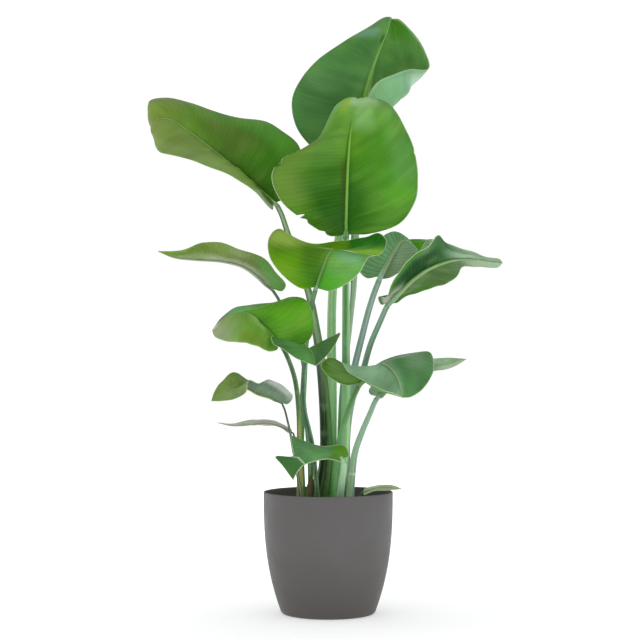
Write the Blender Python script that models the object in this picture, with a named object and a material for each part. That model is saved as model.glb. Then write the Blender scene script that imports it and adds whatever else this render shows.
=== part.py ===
"""Potted bird of paradise: a round planter, its soil, and sixteen leaves on their own stalks.

Lengths are metres, except the points of the plant, which are whole millimetres (x, y, z).
The origin is the middle of the planter's underside, +Z is up and -Y is the front.
"""

import math

import bmesh
import bpy
import numpy as np

MM = 0.001
FIT_GAP = 0.0003
LINE_STEPS = 24

POT_HEIGHT = 0.280
POT_RIM_RADIUS = 0.150
POT_FOOT_RADIUS = 0.108
POT_FOOT_ROUND = 0.004
POT_BELLY_POWER = 2.6
POT_WALL = 0.0032
POT_FLOOR = 0.005
POT_SIDES = 48
POT_WALL_RINGS = 8

SOIL_TOP = 0.245
SOIL_BOTTOM = POT_FLOOR + FIT_GAP
HOLE_DEPTH = 0.032
HOLE_SIDES = 12
STRAIGHT_FOOT = 0.036

STALK_RINGS = 15
STALK_CLEAR = 0.0005
STALK_TAPER = 1.3
STALK_END = 0.005
BLADE_THICKNESS = 0.0009
BLADE_NECK = 0.008
RIB_DEPTH = 1.5
RIB_TAPER = 0.8
RIB_SIDE = 0.0012
RIB_SHARE = 0.4
SHEATH_THICKNESS = 0.0008
SHEATH_CLEAR = 0.0009

GREEN_UPPER = (0.120, 0.230, 0.040)
GREEN_STALK = (0.250, 0.350, 0.180)
GREEN_SPEAR = (0.330, 0.430, 0.160)
STRAW_BROWN = (0.330, 0.200, 0.090)
PEAT_BROWN = (0.045, 0.028, 0.018)
PLANTER_GREY = (0.125, 0.125, 0.120)

# Each leaf is a few lines in space: its stalk from the hole in the soil to the blade, its midrib
# from there to the tip, and the blade's two edges to the left and right of the midrib, seen from
# above its upper face with the tip away. The blade is stretched between those lines. A hump list
# bows each half up (above nought) or down between the midrib and the edge. The radii are the
# stalk's at its foot and at the blade.
LEAVES = {
    "leaf_01": dict(
        radii=(13.5, 9.0), rows=16, columns=5,
        stalk=[(4, 38), (8, 40, 397), (9, 45, 521), (8, 50, 632), (11, 65, 750), (26, 90, 882),
               (38, 108, 968)],
        rib=[(53, 125, 1042), (73, 150, 1142), (93, 180, 1244), (119, 210, 1328), (148, 245, 1404),
             (159, 283, 1443), (162, 314, 1446)],
        left=[(15, 120, 1041), (-33, 110, 1088), (-77, 120, 1147), (-87, 130, 1211), (-65, 150, 1266),
              (-26, 170, 1315), (42, 200, 1368), (108, 245, 1416), (138, 280, 1441)],
        right=[(82, 115, 1065), (96, 110, 1124), (91, 110, 1179), (96, 110, 1220), (120, 110, 1252),
               (154, 115, 1269), (199, 140, 1287), (247, 180, 1298), (237, 215, 1351),
               (210, 245, 1399), (180, 281, 1438)],
        left_hump=(0, 10, 10, 10, 0), right_hump=(-30, -60, -90, -70, 0),
    ),
    "leaf_02": dict(
        radii=(12.0, 8.0), rows=16, columns=4,
        stalk=[(23, -8), (37, -15, 377), (41, -20, 493), (41, -20, 631), (41, -20, 740),
               (41, -20, 812)],
        rib=[(41, -20, 867), (43, -32, 955), (46, -30, 1036), (53, -8, 1120), (66, 30, 1189),
             (73, 60, 1203), (79, 90, 1176)],
        left=[(13, -25, 869), (-58, -35, 908), (-111, -50, 953), (-130, -70, 1006), (-111, -60, 1043),
              (-65, -45, 1069), (-24, -20, 1100), (19, 30, 1182), (50, 55, 1204)],
        right=[(96, -35, 876), (165, -55, 899), (200, -75, 950), (205, -75, 1001), (199, -60, 1062),
               (185, -30, 1108), (157, 20, 1171), (137, 45, 1193), (107, 70, 1204)],
        left_hump=(0, 10, 10, 10, 0), right_hump=(0, 10, 10, 10, 0),
    ),
    "leaf_03": dict(
        radii=(18.0, 6.0), rows=16, columns=4,
        stalk=[(-19, 5), (-5, 5, 352), (-6, 5, 445), (-15, 5, 562), (-26, 7, 643), (-47, 10, 748),
               (-68, 10, 799), (-95, 10, 884)],
        rib=[(-119, 10, 944), (-173, 15, 996), (-252, 30, 1064), (-328, 50, 1125), (-380, 75, 1158),
             (-417, 105, 1157), (-424, 130, 1139), (-399, 145, 1117)],
        left=[(-130, -20, 932), (-161, -70, 965), (-201, -100, 991), (-267, -90, 1023),
              (-329, -60, 1049), (-389, -10, 1066), (-411, 50, 1099), (-416, 100, 1120)],
        right=[(-94, 10, 965), (-61, 15, 1025), (-68, 30, 1087), (-109, 60, 1127), (-148, 90, 1155),
               (-211, 115, 1166), (-279, 130, 1185), (-333, 140, 1208), (-395, 150, 1221),
               (-436, 168, 1214), (-437, 180, 1180)],
        left_hump=(0, 10, 10, 10, 0), right_hump=(0, 15, 10, 10, 0),
    ),
    "leaf_04": dict(
        radii=(9.5, 5.5), rows=14, columns=4,
        stalk=[(-60, -25), (-64, -40, 378), (-59, -60, 482), (-55, -75, 551), (-51, -92, 619),
               (-39, -115, 703)],
        rib=[(-30, -130, 740), (-15, -145, 785), (6, -138, 831), (31, -108, 835), (54, -82, 840),
             (53, -62, 850), (48, -40, 861)],
        left=[(-59, -140, 745), (-97, -155, 769), (-131, -155, 813), (-135, -137, 857),
              (-112, -100, 884), (-83, -76, 867), (-40, -56, 853), (4, -45, 857)],
        right=[(3, -140, 740), (46, -150, 759), (72, -142, 784), (83, -136, 805), (93, -112, 818),
               (118, -78, 827), (132, -60, 843), (133, -50, 862), (117, -42, 877), (87, -38, 870)],
        left_hump=(0, 10, -12, -6, 0), right_hump=(0, 10, 0, 0, 0),
    ),
    "leaf_05": dict(
        radii=(10.5, 7.0), rows=12, columns=3,
        stalk=[(37, 35), (42, 38, 397), (49, 45, 491), (61, 50, 561), (78, 52, 632), (101, 50, 719)],
        rib=[(120, 45, 771), (139, 40, 808), (159, 30, 845), (175, 10, 865), (194, -15, 854),
             (212, -30, 834)],
        left=[(146, 40, 778), (187, 30, 805), (227, 30, 838), (249, 10, 863), (231, -15, 865)],
        right=[(90, 55, 778), (71, 60, 802), (90, 65, 845), (123, 60, 873), (150, 40, 887),
               (177, 0, 876)],
        left_hump=(0, 10, 10, 0, 0), right_hump=(0, 10, 10, 0, 0),
    ),
    "leaf_06": dict(
        radii=(10.0, 6.5), rows=14, columns=3,
        stalk=[(47, 10), (43, 12, 399), (56, 8, 492), (80, 5, 557), (98, 0, 620), (121, -10, 675)],
        rib=[(138, -20, 712), (165, -40, 746), (199, -60, 777), (236, -80, 799), (287, -100, 814),
             (337, -120, 813), (391, -140, 803)],
        left=[(159, -15, 717), (176, -10, 729), (224, -15, 747), (270, -30, 760), (298, -50, 780),
              (307, -80, 797), (344, -100, 796), (380, -120, 793)],
        right=[(122, -30, 712), (115, -40, 730), (134, -60, 729), (140, -80, 754), (167, -105, 793),
               (193, -125, 824), (224, -135, 841), (246, -140, 865), (263, -150, 849),
               (300, -160, 835), (353, -160, 815), (383, -150, 812)],
        left_hump=(0, 0), right_hump=(0, 0),
    ),
    "leaf_07": dict(
        radii=(8.0, 4.0), rows=12, columns=3,
        stalk=[(-40, 32), (-41, 35, 339), (-48, 38, 420), (-56, 40, 485), (-58, 40, 575),
               (-87, 35, 655), (-110, 30, 716)],
        rib=[(-129, 30, 747), (-155, 25, 774), (-197, 15, 804), (-247, 0, 816), (-308, -20, 818),
             (-354, -30, 822), (-392, -40, 836)],
        left=[(-108, 20, 746), (-98, 10, 760), (-121, -10, 789), (-153, -30, 823), (-196, -45, 838),
              (-251, -55, 855), (-294, -60, 853), (-340, -55, 837)],
        right=[(-111, 45, 754), (-109, 60, 771), (-138, 75, 798), (-185, 75, 829), (-244, 65, 845),
               (-301, 40, 843), (-350, 0, 837)],
        left_hump=(0, 0), right_hump=(0, 0),
    ),
    "leaf_08": dict(
        radii=(8.0, 5.0), rows=12, columns=4,
        stalk=[(-65, -50), (-65, -70, 380), (-67, -100, 472), (-75, -130, 541), (-90, -155, 588)],
        rib=[(-103, -170, 614), (-126, -170, 643), (-157, -175, 672), (-176, -185, 690),
             (-204, -205, 691), (-233, -230, 675), (-254, -245, 651)],
        left=[(-114, -185, 608), (-133, -205, 605), (-156, -235, 615), (-180, -255, 623),
              (-216, -270, 625), (-246, -265, 636)],
        right=[(-77, -165, 612), (-46, -155, 626), (-32, -140, 662), (-48, -140, 718),
               (-82, -120, 728), (-121, -105, 717), (-175, -115, 711), (-211, -145, 701),
               (-238, -185, 679)],
        left_hump=(0, 15, 20, 10, 0), right_hump=(0, 10, 0, -10, 0),
    ),
    "leaf_09": dict(
        radii=(6.0, 4.0), rows=10, columns=3,
        stalk=[(-24, -62), (-36, -70, 389), (-54, -80, 474), (-55, -102, 529), (-52, -132, 572)],
        rib=[(-46, -175, 599), (-45, -200, 612), (-41, -230, 612), (-34, -260, 597),
             (-28, -280, 573)],
        left=[(-23, -175, 608), (8, -180, 630), (25, -195, 647), (18, -220, 625), (1, -250, 601),
              (-15, -270, 584)],
        right=[(-63, -180, 603), (-96, -190, 619), (-125, -205, 638), (-122, -225, 623),
               (-99, -245, 608), (-67, -265, 588)],
        left_hump=(0, 0), right_hump=(0, 0),
    ),
    "leaf_10": dict(
        radii=(9.0, 6.0), rows=12, columns=4,
        stalk=[(12, -42), (23, -45, 385), (46, -45, 469)],
        rib=[(70, -45, 525), (95, -60, 562), (119, -90, 578), (138, -125, 570), (155, -150, 545),
             (165, -172, 502)],
        left=[(132, 0, 563), (179, 0, 590), (235, -20, 603), (242, -60, 571), (232, -100, 545),
              (209, -140, 518), (184, -160, 503)],
        right=[(41, -55, 528), (4, -55, 544), (-17, -55, 574), (-1, -60, 591), (27, -80, 581),
               (44, -105, 560), (79, -145, 539), (121, -175, 520), (149, -180, 510)],
        left_hump=(0, 8, 5, 0, 0), right_hump=(0, -8, -18, -45, 0),
    ),
    "leaf_11": dict(
        radii=(10.0, 6.0), rows=10, columns=3,
        stalk=[(49, -24), (55, -18, 321), (62, -10, 370), (76, -3, 411), (96, 7, 457)],
        rib=[(112, 15, 492), (133, 30, 517), (170, 55, 545), (231, 90, 566), (293, 120, 577),
             (335, 140, 587)],
        left=[(98, 20, 505), (96, 30, 517), (134, 60, 542), (183, 90, 570), (244, 115, 587),
              (291, 130, 590)],
        right=[(125, 5, 496), (139, 0, 511), (180, 20, 533), (241, 60, 556), (291, 100, 565),
               (320, 130, 577)],
        left_hump=(0, 0), right_hump=(0, 0),
    ),
    "leaf_12": dict(
        radii=(5.0, 2.5), rows=10, columns=3,
        stalk=[(-58, -85), (-71, -90, 336), (-80, -95, 386), (-91, -100, 443)],
        rib=[(-105, -105, 486), (-127, -110, 500), (-159, -120, 510), (-185, -130, 523),
             (-220, -145, 521), (-262, -150, 494)],
        left=[(-93, -110, 486), (-80, -120, 502), (-91, -135, 518), (-117, -145, 537),
              (-134, -148, 543), (-155, -152, 534), (-177, -155, 540), (-184, -165, 514),
              (-205, -170, 501), (-237, -165, 494)],
        right=[(-110, -95, 495), (-112, -90, 510), (-137, -90, 524), (-166, -90, 533),
               (-194, -90, 547), (-216, -100, 558), (-240, -120, 538), (-256, -140, 514)],
        left_hump=(0, 0), right_hump=(0, 0),
    ),
    "leaf_13": dict(
        radii=(4.0, 2.0), rows=9, columns=2,
        stalk=[(-59, 5), (-65, -5, 342), (-72, -12, 386)],
        rib=[(-81, -20, 414), (-104, -30, 431), (-134, -40, 440), (-179, -55, 439),
             (-218, -65, 436), (-251, -75, 443)],
        left=[(-84, -30, 424), (-102, -45, 437), (-131, -60, 448), (-178, -75, 449),
              (-219, -78, 441)],
        right=[(-91, -10, 416), (-116, -5, 430), (-146, -10, 434), (-185, -30, 434),
               (-221, -50, 434)],
        left_hump=(0, 0), right_hump=(0, 0),
    ),
    "leaf_14": dict(
        radii=(10.0, 7.0), rows=12, columns=3,
        stalk=[(25, -68), (30, -84, 304)],
        rib=[(34, -95, 353), (23, -100, 371), (-8, -120, 376), (-46, -140, 380), (-72, -155, 363),
             (-79, -160, 318)],
        left=[(28, -105, 355), (3, -130, 363), (-28, -150, 360), (-57, -165, 350),
              (-72, -165, 332)],
        right=[(47, -85, 367), (38, -80, 390), (-12, -100, 391), (-53, -115, 403), (-84, -130, 415),
               (-82, -140, 393), (-79, -148, 372), (-119, -155, 371), (-104, -160, 352)],
        left_hump=(0, 0), right_hump=(0, 0),
    ),
    "leaf_15": dict(
        radii=(4.0, 2.5), rows=8, columns=2,
        stalk=[(68, -31)],
        rib=[(75, -35, 277), (96, -45, 289), (125, -60, 296), (168, -75, 292)],
        left=[(83, -20, 287), (92, -25, 292), (128, -40, 299), (152, -60, 298)],
        right=[(82, -50, 276), (104, -65, 286), (136, -75, 289)],
        left_hump=(0, 0), right_hump=(0, 0),
    ),
}

# The youngest leaf is still rolled into a spear on its own stalk, behind the widest blade.
SPEAR = [(21, 70), (28, 85, 395), (34, 90, 513), (46, 90, 611), (60, 85, 744), (64, 70, 874),
         (66, 55, 986), (66, 45, 1104)]
SPEAR_FOOT_RADIUS = 0.0075
SPEAR_ROLL_RADIUS = 0.0105
SPEAR_POINT_RADIUS = 0.0015
SPEAR_RINGS = 22

# Old sheaths that have dried on the stalks they once wrapped: stalk, height and half-angle.
SHEATHS = {"dried_sheath_1": ("leaf_08", 0.270, 42), "dried_sheath_2": ("leaf_07", 0.105, 100)}
SHEATH_ROWS = 14
SHEATH_COLUMNS = 8


def clear_scene():
    for item in list(bpy.data.objects):
        bpy.data.objects.remove(item, do_unlink=True)


def material(name, colour, roughness):
    made = bpy.data.materials.new(name)
    made.use_nodes = True
    shader = made.node_tree.nodes["Principled BSDF"]
    shader.inputs["Base Color"].default_value = (*colour, 1.0)
    shader.inputs["Roughness"].default_value = roughness
    shader.inputs["Metallic"].default_value = 0.0
    return made


def add_object(name, data, finish):
    data.materials.append(finish)
    item = bpy.data.objects.new(name, data)
    bpy.context.collection.objects.link(item)
    return item


def smooth_line(points):
    """A smooth line through the points, drawn in short steps, with its length at each step."""
    knots = np.array(points, float)
    knots = np.vstack([2 * knots[0] - knots[1], knots, 2 * knots[-1] - knots[-2]])
    line = []
    for before, start, end, after in zip(knots, knots[1:], knots[2:], knots[3:]):
        pairs = ((before, start), (start, end), (end, after))
        spans = [math.sqrt(np.linalg.norm(b - a)) for a, b in pairs]
        enter = (start - before) / spans[0] - (end - before) / (spans[0] + spans[1])
        leave = (after - end) / spans[2] - (after - start) / (spans[1] + spans[2])
        enter = (enter + (end - start) / spans[1]) * spans[1]
        leave = (leave + (end - start) / spans[1]) * spans[1]
        for step in range(LINE_STEPS):
            t = step / LINE_STEPS
            line.append(
                (2 * t**3 - 3 * t**2 + 1) * start
                + (t**3 - 2 * t**2 + t) * enter
                + (3 * t**2 - 2 * t**3) * end
                + (t**3 - t**2) * leave
            )
    line.append(knots[-2])
    line = np.array(line)
    lengths = np.concatenate([[0], np.cumsum(np.linalg.norm(np.diff(line, axis=0), axis=1))])
    return line, lengths


def read_line(line, lengths, where):
    return np.stack([np.interp(where, lengths, line[:, axis]) for axis in range(3)], axis=-1)


def spread(points, shares):
    """Points at the given shares of a smooth line's length."""
    line, lengths = smooth_line(points)
    return read_line(line, lengths, np.asarray(shares) * lengths[-1])


def directions(line):
    along = np.gradient(line, axis=0)
    return along / np.linalg.norm(along, axis=1)[:, None]


def rooted(points):
    """Millimetre points in metres, led straight up out of a hole in the soil."""
    foot = np.array([*points[0], 0.0]) * MM
    hole = foot + [0, 0, SOIL_TOP - HOLE_DEPTH + FIT_GAP]
    collar = hole + [0, 0, STRAIGHT_FOOT]
    return [hole, collar] + [np.array(point) * MM for point in points[1:]]


def leaf_line(leaf):
    """One line for stalk and midrib, its lengths, and the length at which the blade starts."""
    stalk = rooted(leaf["stalk"])
    line, lengths = smooth_line(stalk + [np.array(point) * MM for point in leaf["rib"]])
    base = np.array(leaf["rib"][0]) * MM
    start = lengths[np.argmin(np.linalg.norm(line - base, axis=1))]
    return line, lengths, start


def neck_of(line, lengths, start):
    """Where the blade's straight neck begins, and the way it points."""
    ahead = read_line(line, lengths, np.array([start + BLADE_NECK, start + 2 * BLADE_NECK]))
    along = ahead[1] - ahead[0]
    along /= np.linalg.norm(along)
    return ahead[0] - BLADE_NECK * along, along


def tube(name, line, radii, finish):
    """A tapered round stem along the line, as a curve with filled ends."""
    data = bpy.data.curves.new(name, "CURVE")
    data.dimensions = "3D"
    data.bevel_depth = 1.0
    data.bevel_resolution = 2
    data.use_fill_caps = True
    spline = data.splines.new("POLY")
    spline.points.add(len(line) - 1)
    for point, place, radius in zip(spline.points, line, radii):
        point.co = (*place, 1.0)
        point.radius = radius
    return add_object(name, data, finish)


def stalk_radius(leaf, where, start):
    foot, top = np.array(leaf["radii"]) * MM
    share = np.clip((where - STRAIGHT_FOOT) / (start - STRAIGHT_FOOT), 0, 1)
    return top + (foot - top) * (1 - share) ** STALK_TAPER


def stalk(name, leaf, finish):
    line, lengths, start = leaf_line(leaf)
    neck, along = neck_of(line, lengths, start)
    where = np.concatenate([[0], np.linspace(STRAIGHT_FOOT, start - 2 * STALK_END, STALK_RINGS)])
    end = [neck - (FIT_GAP + STALK_END) * along, neck - FIT_GAP * along]
    places = np.vstack([read_line(line, lengths, where), end])
    radii = stalk_radius(leaf, np.append(where, [start, start]), start)
    return tube(name, places, radii, finish)


def hump_at(hump, shares):
    places = np.linspace(0, 1, len(hump))
    return np.interp(shares, places, hump) * MM


def sheet(name, rows, finish, thickness, ridge=None):
    """A thin closed slab on a grid of points. The last row ends in one point, at the tip."""
    count = rows.shape[1]
    middle = count // 2
    points = [tuple(point) for row in rows[:-1] for point in row] + [tuple(rows[-1, middle])]
    tip = len(points) - 1
    faces = []
    for row in range(len(rows) - 2):
        for column in range(count - 1):
            a = row * count + column
            b, c, d = a + 1, a + count + 1, a + count
            faces += [(a, b, c), (a, c, d)]
    last = (len(rows) - 2) * count
    faces += [(last + column, last + column + 1, tip) for column in range(count - 1)]
    data = bpy.data.meshes.new(name)
    data.from_pydata(points, [], faces)
    data.shade_smooth()
    item = add_object(name, data, finish)
    solid = item.modifiers.new("Thickness", "SOLIDIFY")
    solid.thickness = thickness
    solid.offset = -1.0
    if ridge is not None:
        deepest = max(ridge)
        solid.thickness = deepest
        group = item.vertex_groups.new(name="Thickness")
        group.add(range(len(points)), thickness / deepest, "REPLACE")
        for row, depth in enumerate(ridge[:-1]):
            group.add([row * count + middle], depth / deepest, "REPLACE")
        solid.vertex_group = group.name
    return item


def blade(name, leaf, finish):
    """The broad blade, stretched from its midrib to its two edges, with the midrib underneath."""
    line, lengths, start = leaf_line(leaf)
    top = leaf["radii"][1] * MM
    shares = np.linspace(0, 1, leaf["rows"] + 1)
    rib = read_line(line, lengths, start + BLADE_NECK + shares * (lengths[-1] - start - BLADE_NECK))
    along = directions(rib)
    _, neck_along = neck_of(line, lengths, start)
    left, right = (np.array(leaf[side], float) * MM for side in ("left", "right"))
    across = right[0] - left[0]
    across -= across.dot(neck_along) * neck_along
    across *= top / np.linalg.norm(across)
    ends = {-1: [rib[0] - across, *left, rib[-1]], 1: [rib[0] + across, *right, rib[-1]]}
    rib_half = top * (1 - shares) + RIB_SIDE
    halves = []
    for side, hump in ((-1, leaf["left_hump"]), (1, leaf["right_hump"])):
        span = spread(ends[side], shares) - rib
        width = np.linalg.norm(span, axis=1)
        up = -side * np.cross(along, span)
        up /= np.maximum(np.linalg.norm(up, axis=1), 1e-6)[:, None]
        beside = np.minimum(rib_half / np.maximum(width, 1e-6), RIB_SHARE)
        rows = []
        for column in range(1, leaf["columns"] + 1):
            out = beside + (1 - beside) * (column - 1) / (leaf["columns"] - 1)
            bow = hump_at(hump, shares) * 4 * out * (1 - out)
            rows.append(rib + span * out[:, None] + up * bow[:, None])
        halves.append(rows)
    grid = np.stack(halves[0][::-1] + [rib] + halves[1], axis=1)
    neck = grid[:1] - BLADE_NECK * neck_along
    ridge = BLADE_THICKNESS + RIB_DEPTH * top * (1 - shares) ** RIB_TAPER
    return sheet(name, np.concatenate([neck, grid]), finish, BLADE_THICKNESS, [ridge[0], *ridge])


def spear_leaf(name, finish):
    line, lengths = smooth_line(rooted(SPEAR))
    where = np.concatenate([[0], np.linspace(STRAIGHT_FOOT, lengths[-1], SPEAR_RINGS)])
    share = where / lengths[-1]
    knots = (0, 0.55, 0.72, 0.85, 1)
    sizes = (SPEAR_FOOT_RADIUS, 0.8 * SPEAR_FOOT_RADIUS, SPEAR_ROLL_RADIUS, 0.8 * SPEAR_ROLL_RADIUS,
             SPEAR_POINT_RADIUS)
    radii = np.interp(share, knots, sizes)
    radii[:2] = SPEAR_FOOT_RADIUS
    return tube(name, read_line(line, lengths, where), radii, finish)


def dried_sheath(name, leaf, height, half_angle, finish):
    """A papery strip that still hugs the front of its stalk and narrows to a point."""
    line, lengths, start = leaf_line(leaf)
    shares = np.linspace(0, 1, SHEATH_ROWS + 1)
    where = FIT_GAP + shares * height
    centre = read_line(line, lengths, where)
    along = directions(centre)
    front = np.cross(np.cross(along, (0, -1, 0)), along)
    front /= np.linalg.norm(front, axis=1)[:, None]
    side = np.cross(along, front)
    radius = stalk_radius(leaf, where, start) + SHEATH_CLEAR
    reach = math.radians(half_angle) * (1 - shares**3)
    columns = []
    for column in range(SHEATH_COLUMNS + 1):
        turn = reach * (2 * column / SHEATH_COLUMNS - 1)
        out = np.cos(turn)[:, None] * front + np.sin(turn)[:, None] * side
        columns.append(centre + (radius + SHEATH_THICKNESS)[:, None] * out)
    return sheet(name, np.stack(columns, axis=1), finish, SHEATH_THICKNESS)


def pot_radius(height):
    """Outer radius of the planter's wall, which leans out from the foot and straightens."""
    share = 1 - height / POT_HEIGHT
    return POT_RIM_RADIUS - (POT_RIM_RADIUS - POT_FOOT_RADIUS) * share**POT_BELLY_POWER


def planter(finish):
    heights = np.linspace(POT_FOOT_ROUND, POT_HEIGHT, POT_WALL_RINGS)
    profile = [(0.0, POT_FLOOR), (pot_radius(POT_FLOOR) - POT_WALL, POT_FLOOR)]
    profile += [(pot_radius(height) - POT_WALL, height) for height in heights[1:]]
    profile += [(pot_radius(height), height) for height in reversed(heights)]
    profile += [(POT_FOOT_RADIUS - POT_FOOT_ROUND, 0.0), (0.0, 0.0)]
    data = bpy.data.meshes.new("pot")
    points = [(radius, 0.0, height) for radius, height in profile]
    data.from_pydata(points, [(i, i + 1) for i in range(len(points) - 1)], [])
    item = add_object("pot", data, finish)
    turn = item.modifiers.new("Turned", "SCREW")
    turn.steps = turn.render_steps = POT_SIDES
    turn.use_merge_vertices = True
    turn.merge_threshold = 0.00005
    turn.use_smooth_shade = True
    return item


def soil(holes, finish):
    """Potting soil that fills the planter, with a plain hole for every stalk."""
    form = bmesh.new()
    heights = [SOIL_BOTTOM, *np.linspace(POT_FOOT_ROUND, POT_HEIGHT, POT_WALL_RINGS)[1:-1], SOIL_TOP]
    heights = sorted(height for height in heights if height <= SOIL_TOP)
    rings = []
    for height in heights:
        radius = pot_radius(height) - POT_WALL - FIT_GAP
        turns = [math.tau * i / POT_SIDES for i in range(POT_SIDES)]
        ring = [(radius * math.cos(turn), radius * math.sin(turn), height) for turn in turns]
        rings.append([form.verts.new(point) for point in ring])
    form.faces.new(rings[0][::-1])
    for lower, upper in zip(rings, rings[1:]):
        for i in range(POT_SIDES):
            form.faces.new((lower[i - 1], lower[i], upper[i], upper[i - 1]))
    form.faces.new(rings[-1])
    data = bpy.data.meshes.new("soil")
    form.to_mesh(data)
    form.free()
    item = add_object("soil", data, finish)

    cut = bmesh.new()
    for place, radius in holes:
        made = bmesh.ops.create_cone(
            cut, cap_ends=True, segments=HOLE_SIDES, radius1=radius, radius2=radius, depth=2 * HOLE_DEPTH
        )
        bmesh.ops.translate(cut, verts=made["verts"], vec=(*place, SOIL_TOP))
    cutter_data = bpy.data.meshes.new("soil_holes")
    cut.to_mesh(cutter_data)
    cut.free()
    cutter = add_object("soil_holes", cutter_data, finish)
    cutter.hide_render = True
    cutter.display_type = "WIRE"
    holes_cut = item.modifiers.new("Holes", "BOOLEAN")
    holes_cut.operation = "DIFFERENCE"
    holes_cut.object = cutter
    return item


def hole_radius(stalk_radius, sheathed):
    """A hole whose flat sides still clear the stem, and the dried sheath where there is one."""
    room = STALK_CLEAR + (SHEATH_CLEAR + SHEATH_THICKNESS if sheathed else 0)
    return (stalk_radius + room) / math.cos(math.pi / HOLE_SIDES)


clear_scene()
pot_finish = material("pot", PLANTER_GREY, 0.55)
soil_finish = material("soil", PEAT_BROWN, 0.95)
blade_finish = material("blade", GREEN_UPPER, 0.45)
stalk_finish = material("stalk", GREEN_STALK, 0.50)
spear_finish = material("spear", GREEN_SPEAR, 0.50)
sheath_finish = material("sheath", STRAW_BROWN, 0.85)

sheathed_leaves = {leaf_name for leaf_name, _, _ in SHEATHS.values()}
hole_list = [(np.array(SPEAR[0]) * MM, hole_radius(SPEAR_FOOT_RADIUS, False))]
for leaf_name, leaf in LEAVES.items():
    stalk(leaf_name + "_stalk", leaf, stalk_finish)
    blade(leaf_name + "_blade", leaf, blade_finish)
    hole = hole_radius(leaf["radii"][0] * MM, leaf_name in sheathed_leaves)
    hole_list.append((np.array(leaf["stalk"][0]) * MM, hole))
spear_leaf("spear_leaf", spear_finish)
for sheath_name, (leaf_name, height, half_angle) in SHEATHS.items():
    dried_sheath(sheath_name, LEAVES[leaf_name], height, half_angle, sheath_finish)
planter(pot_finish)
soil(hole_list, soil_finish)
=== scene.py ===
import math
import random

import bpy
import numpy as np
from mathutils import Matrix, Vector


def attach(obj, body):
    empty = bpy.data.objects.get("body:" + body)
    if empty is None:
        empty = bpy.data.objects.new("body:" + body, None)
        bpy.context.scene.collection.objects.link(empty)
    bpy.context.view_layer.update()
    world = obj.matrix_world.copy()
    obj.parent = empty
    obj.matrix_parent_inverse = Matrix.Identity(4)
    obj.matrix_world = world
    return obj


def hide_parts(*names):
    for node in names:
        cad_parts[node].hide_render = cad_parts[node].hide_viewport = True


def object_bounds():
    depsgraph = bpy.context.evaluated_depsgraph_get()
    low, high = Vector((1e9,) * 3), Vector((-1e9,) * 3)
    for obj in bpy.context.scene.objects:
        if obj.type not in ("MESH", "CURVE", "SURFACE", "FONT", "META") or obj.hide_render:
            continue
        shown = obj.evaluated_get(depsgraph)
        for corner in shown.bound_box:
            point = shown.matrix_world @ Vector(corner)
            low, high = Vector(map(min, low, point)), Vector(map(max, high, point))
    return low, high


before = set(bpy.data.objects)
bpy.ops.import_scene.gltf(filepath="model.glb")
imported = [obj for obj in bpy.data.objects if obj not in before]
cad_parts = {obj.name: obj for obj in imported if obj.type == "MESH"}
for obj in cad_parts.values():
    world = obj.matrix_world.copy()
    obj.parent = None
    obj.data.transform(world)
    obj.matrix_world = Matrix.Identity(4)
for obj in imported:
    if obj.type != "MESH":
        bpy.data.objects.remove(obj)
cad_low, cad_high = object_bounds()
bpy.ops.object.select_all(action="DESELECT")

# The studio
# A pale floor runs out of sight into a white background, as for a catalogue picture. One soft
# light stands high on the right, a weaker one on the left and one behind the plant. The camera
# stands 3.8 m away, a little below half the plant's height, and looks up by about a degree.
CAMERA_PLACE = (-0.019, -3.8, 0.6)
CAMERA_TILT = 91.174
FLOOR_SIZE = 24.0
FLOOR_DROP = 0.0006

scene = bpy.context.scene
scene.view_settings.view_transform = "Standard"

camera_data = bpy.data.cameras.new("camera")
camera_data.sensor_width = 36.0
camera_data.lens = 91.9
camera = bpy.data.objects.new("camera", camera_data)
scene.collection.objects.link(camera)
camera.location = CAMERA_PLACE
camera.rotation_euler = (math.radians(CAMERA_TILT), 0.0, 0.0)
scene.camera = camera


def soft_light(name, place, aim, size, watts):
    """A round soft light at a place, turned towards the point that it lights."""
    lamp = bpy.data.lights.new(name, "AREA")
    lamp.shape = "DISK"
    lamp.size = size
    lamp.energy = watts
    item = bpy.data.objects.new(name, lamp)
    scene.collection.objects.link(item)
    item.location = place
    way = np.array(aim) - place
    item.rotation_euler = (math.acos(way[2] / np.linalg.norm(way)) - math.pi, 0.0,
                           math.atan2(way[1], way[0]) - math.pi / 2)


soft_light("key_light", (1.3, -2.5, 3.1), (0.0, 0.0, 0.8), 1.3, 105.0)
soft_light("fill_light", (-2.6, -2.0, 1.7), (0.0, 0.0, 0.7), 1.8, 46.0)
soft_light("back_light", (-0.6, 2.2, 2.9), (0.0, 0.0, 0.9), 1.5, 60.0)

world = bpy.data.worlds.new("studio")
scene.world = world
world.use_nodes = True
air = world.node_tree
room = air.nodes["Background"]
room.inputs["Color"].default_value = (0.98, 0.99, 1.0, 1.0)
room.inputs["Strength"].default_value = 0.72
white = air.nodes.new("ShaderNodeBackground")
white.inputs["Color"].default_value = (1.0, 1.0, 1.0, 1.0)
white.inputs["Strength"].default_value = 1.05
seen = air.nodes.new("ShaderNodeLightPath")
either = air.nodes.new("ShaderNodeMixShader")
air.links.new(seen.outputs["Is Camera Ray"], either.inputs["Fac"])
air.links.new(room.outputs["Background"], either.inputs[1])
air.links.new(white.outputs["Background"], either.inputs[2])
air.links.new(either.outputs["Shader"], air.nodes["World Output"].inputs["Surface"])

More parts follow.
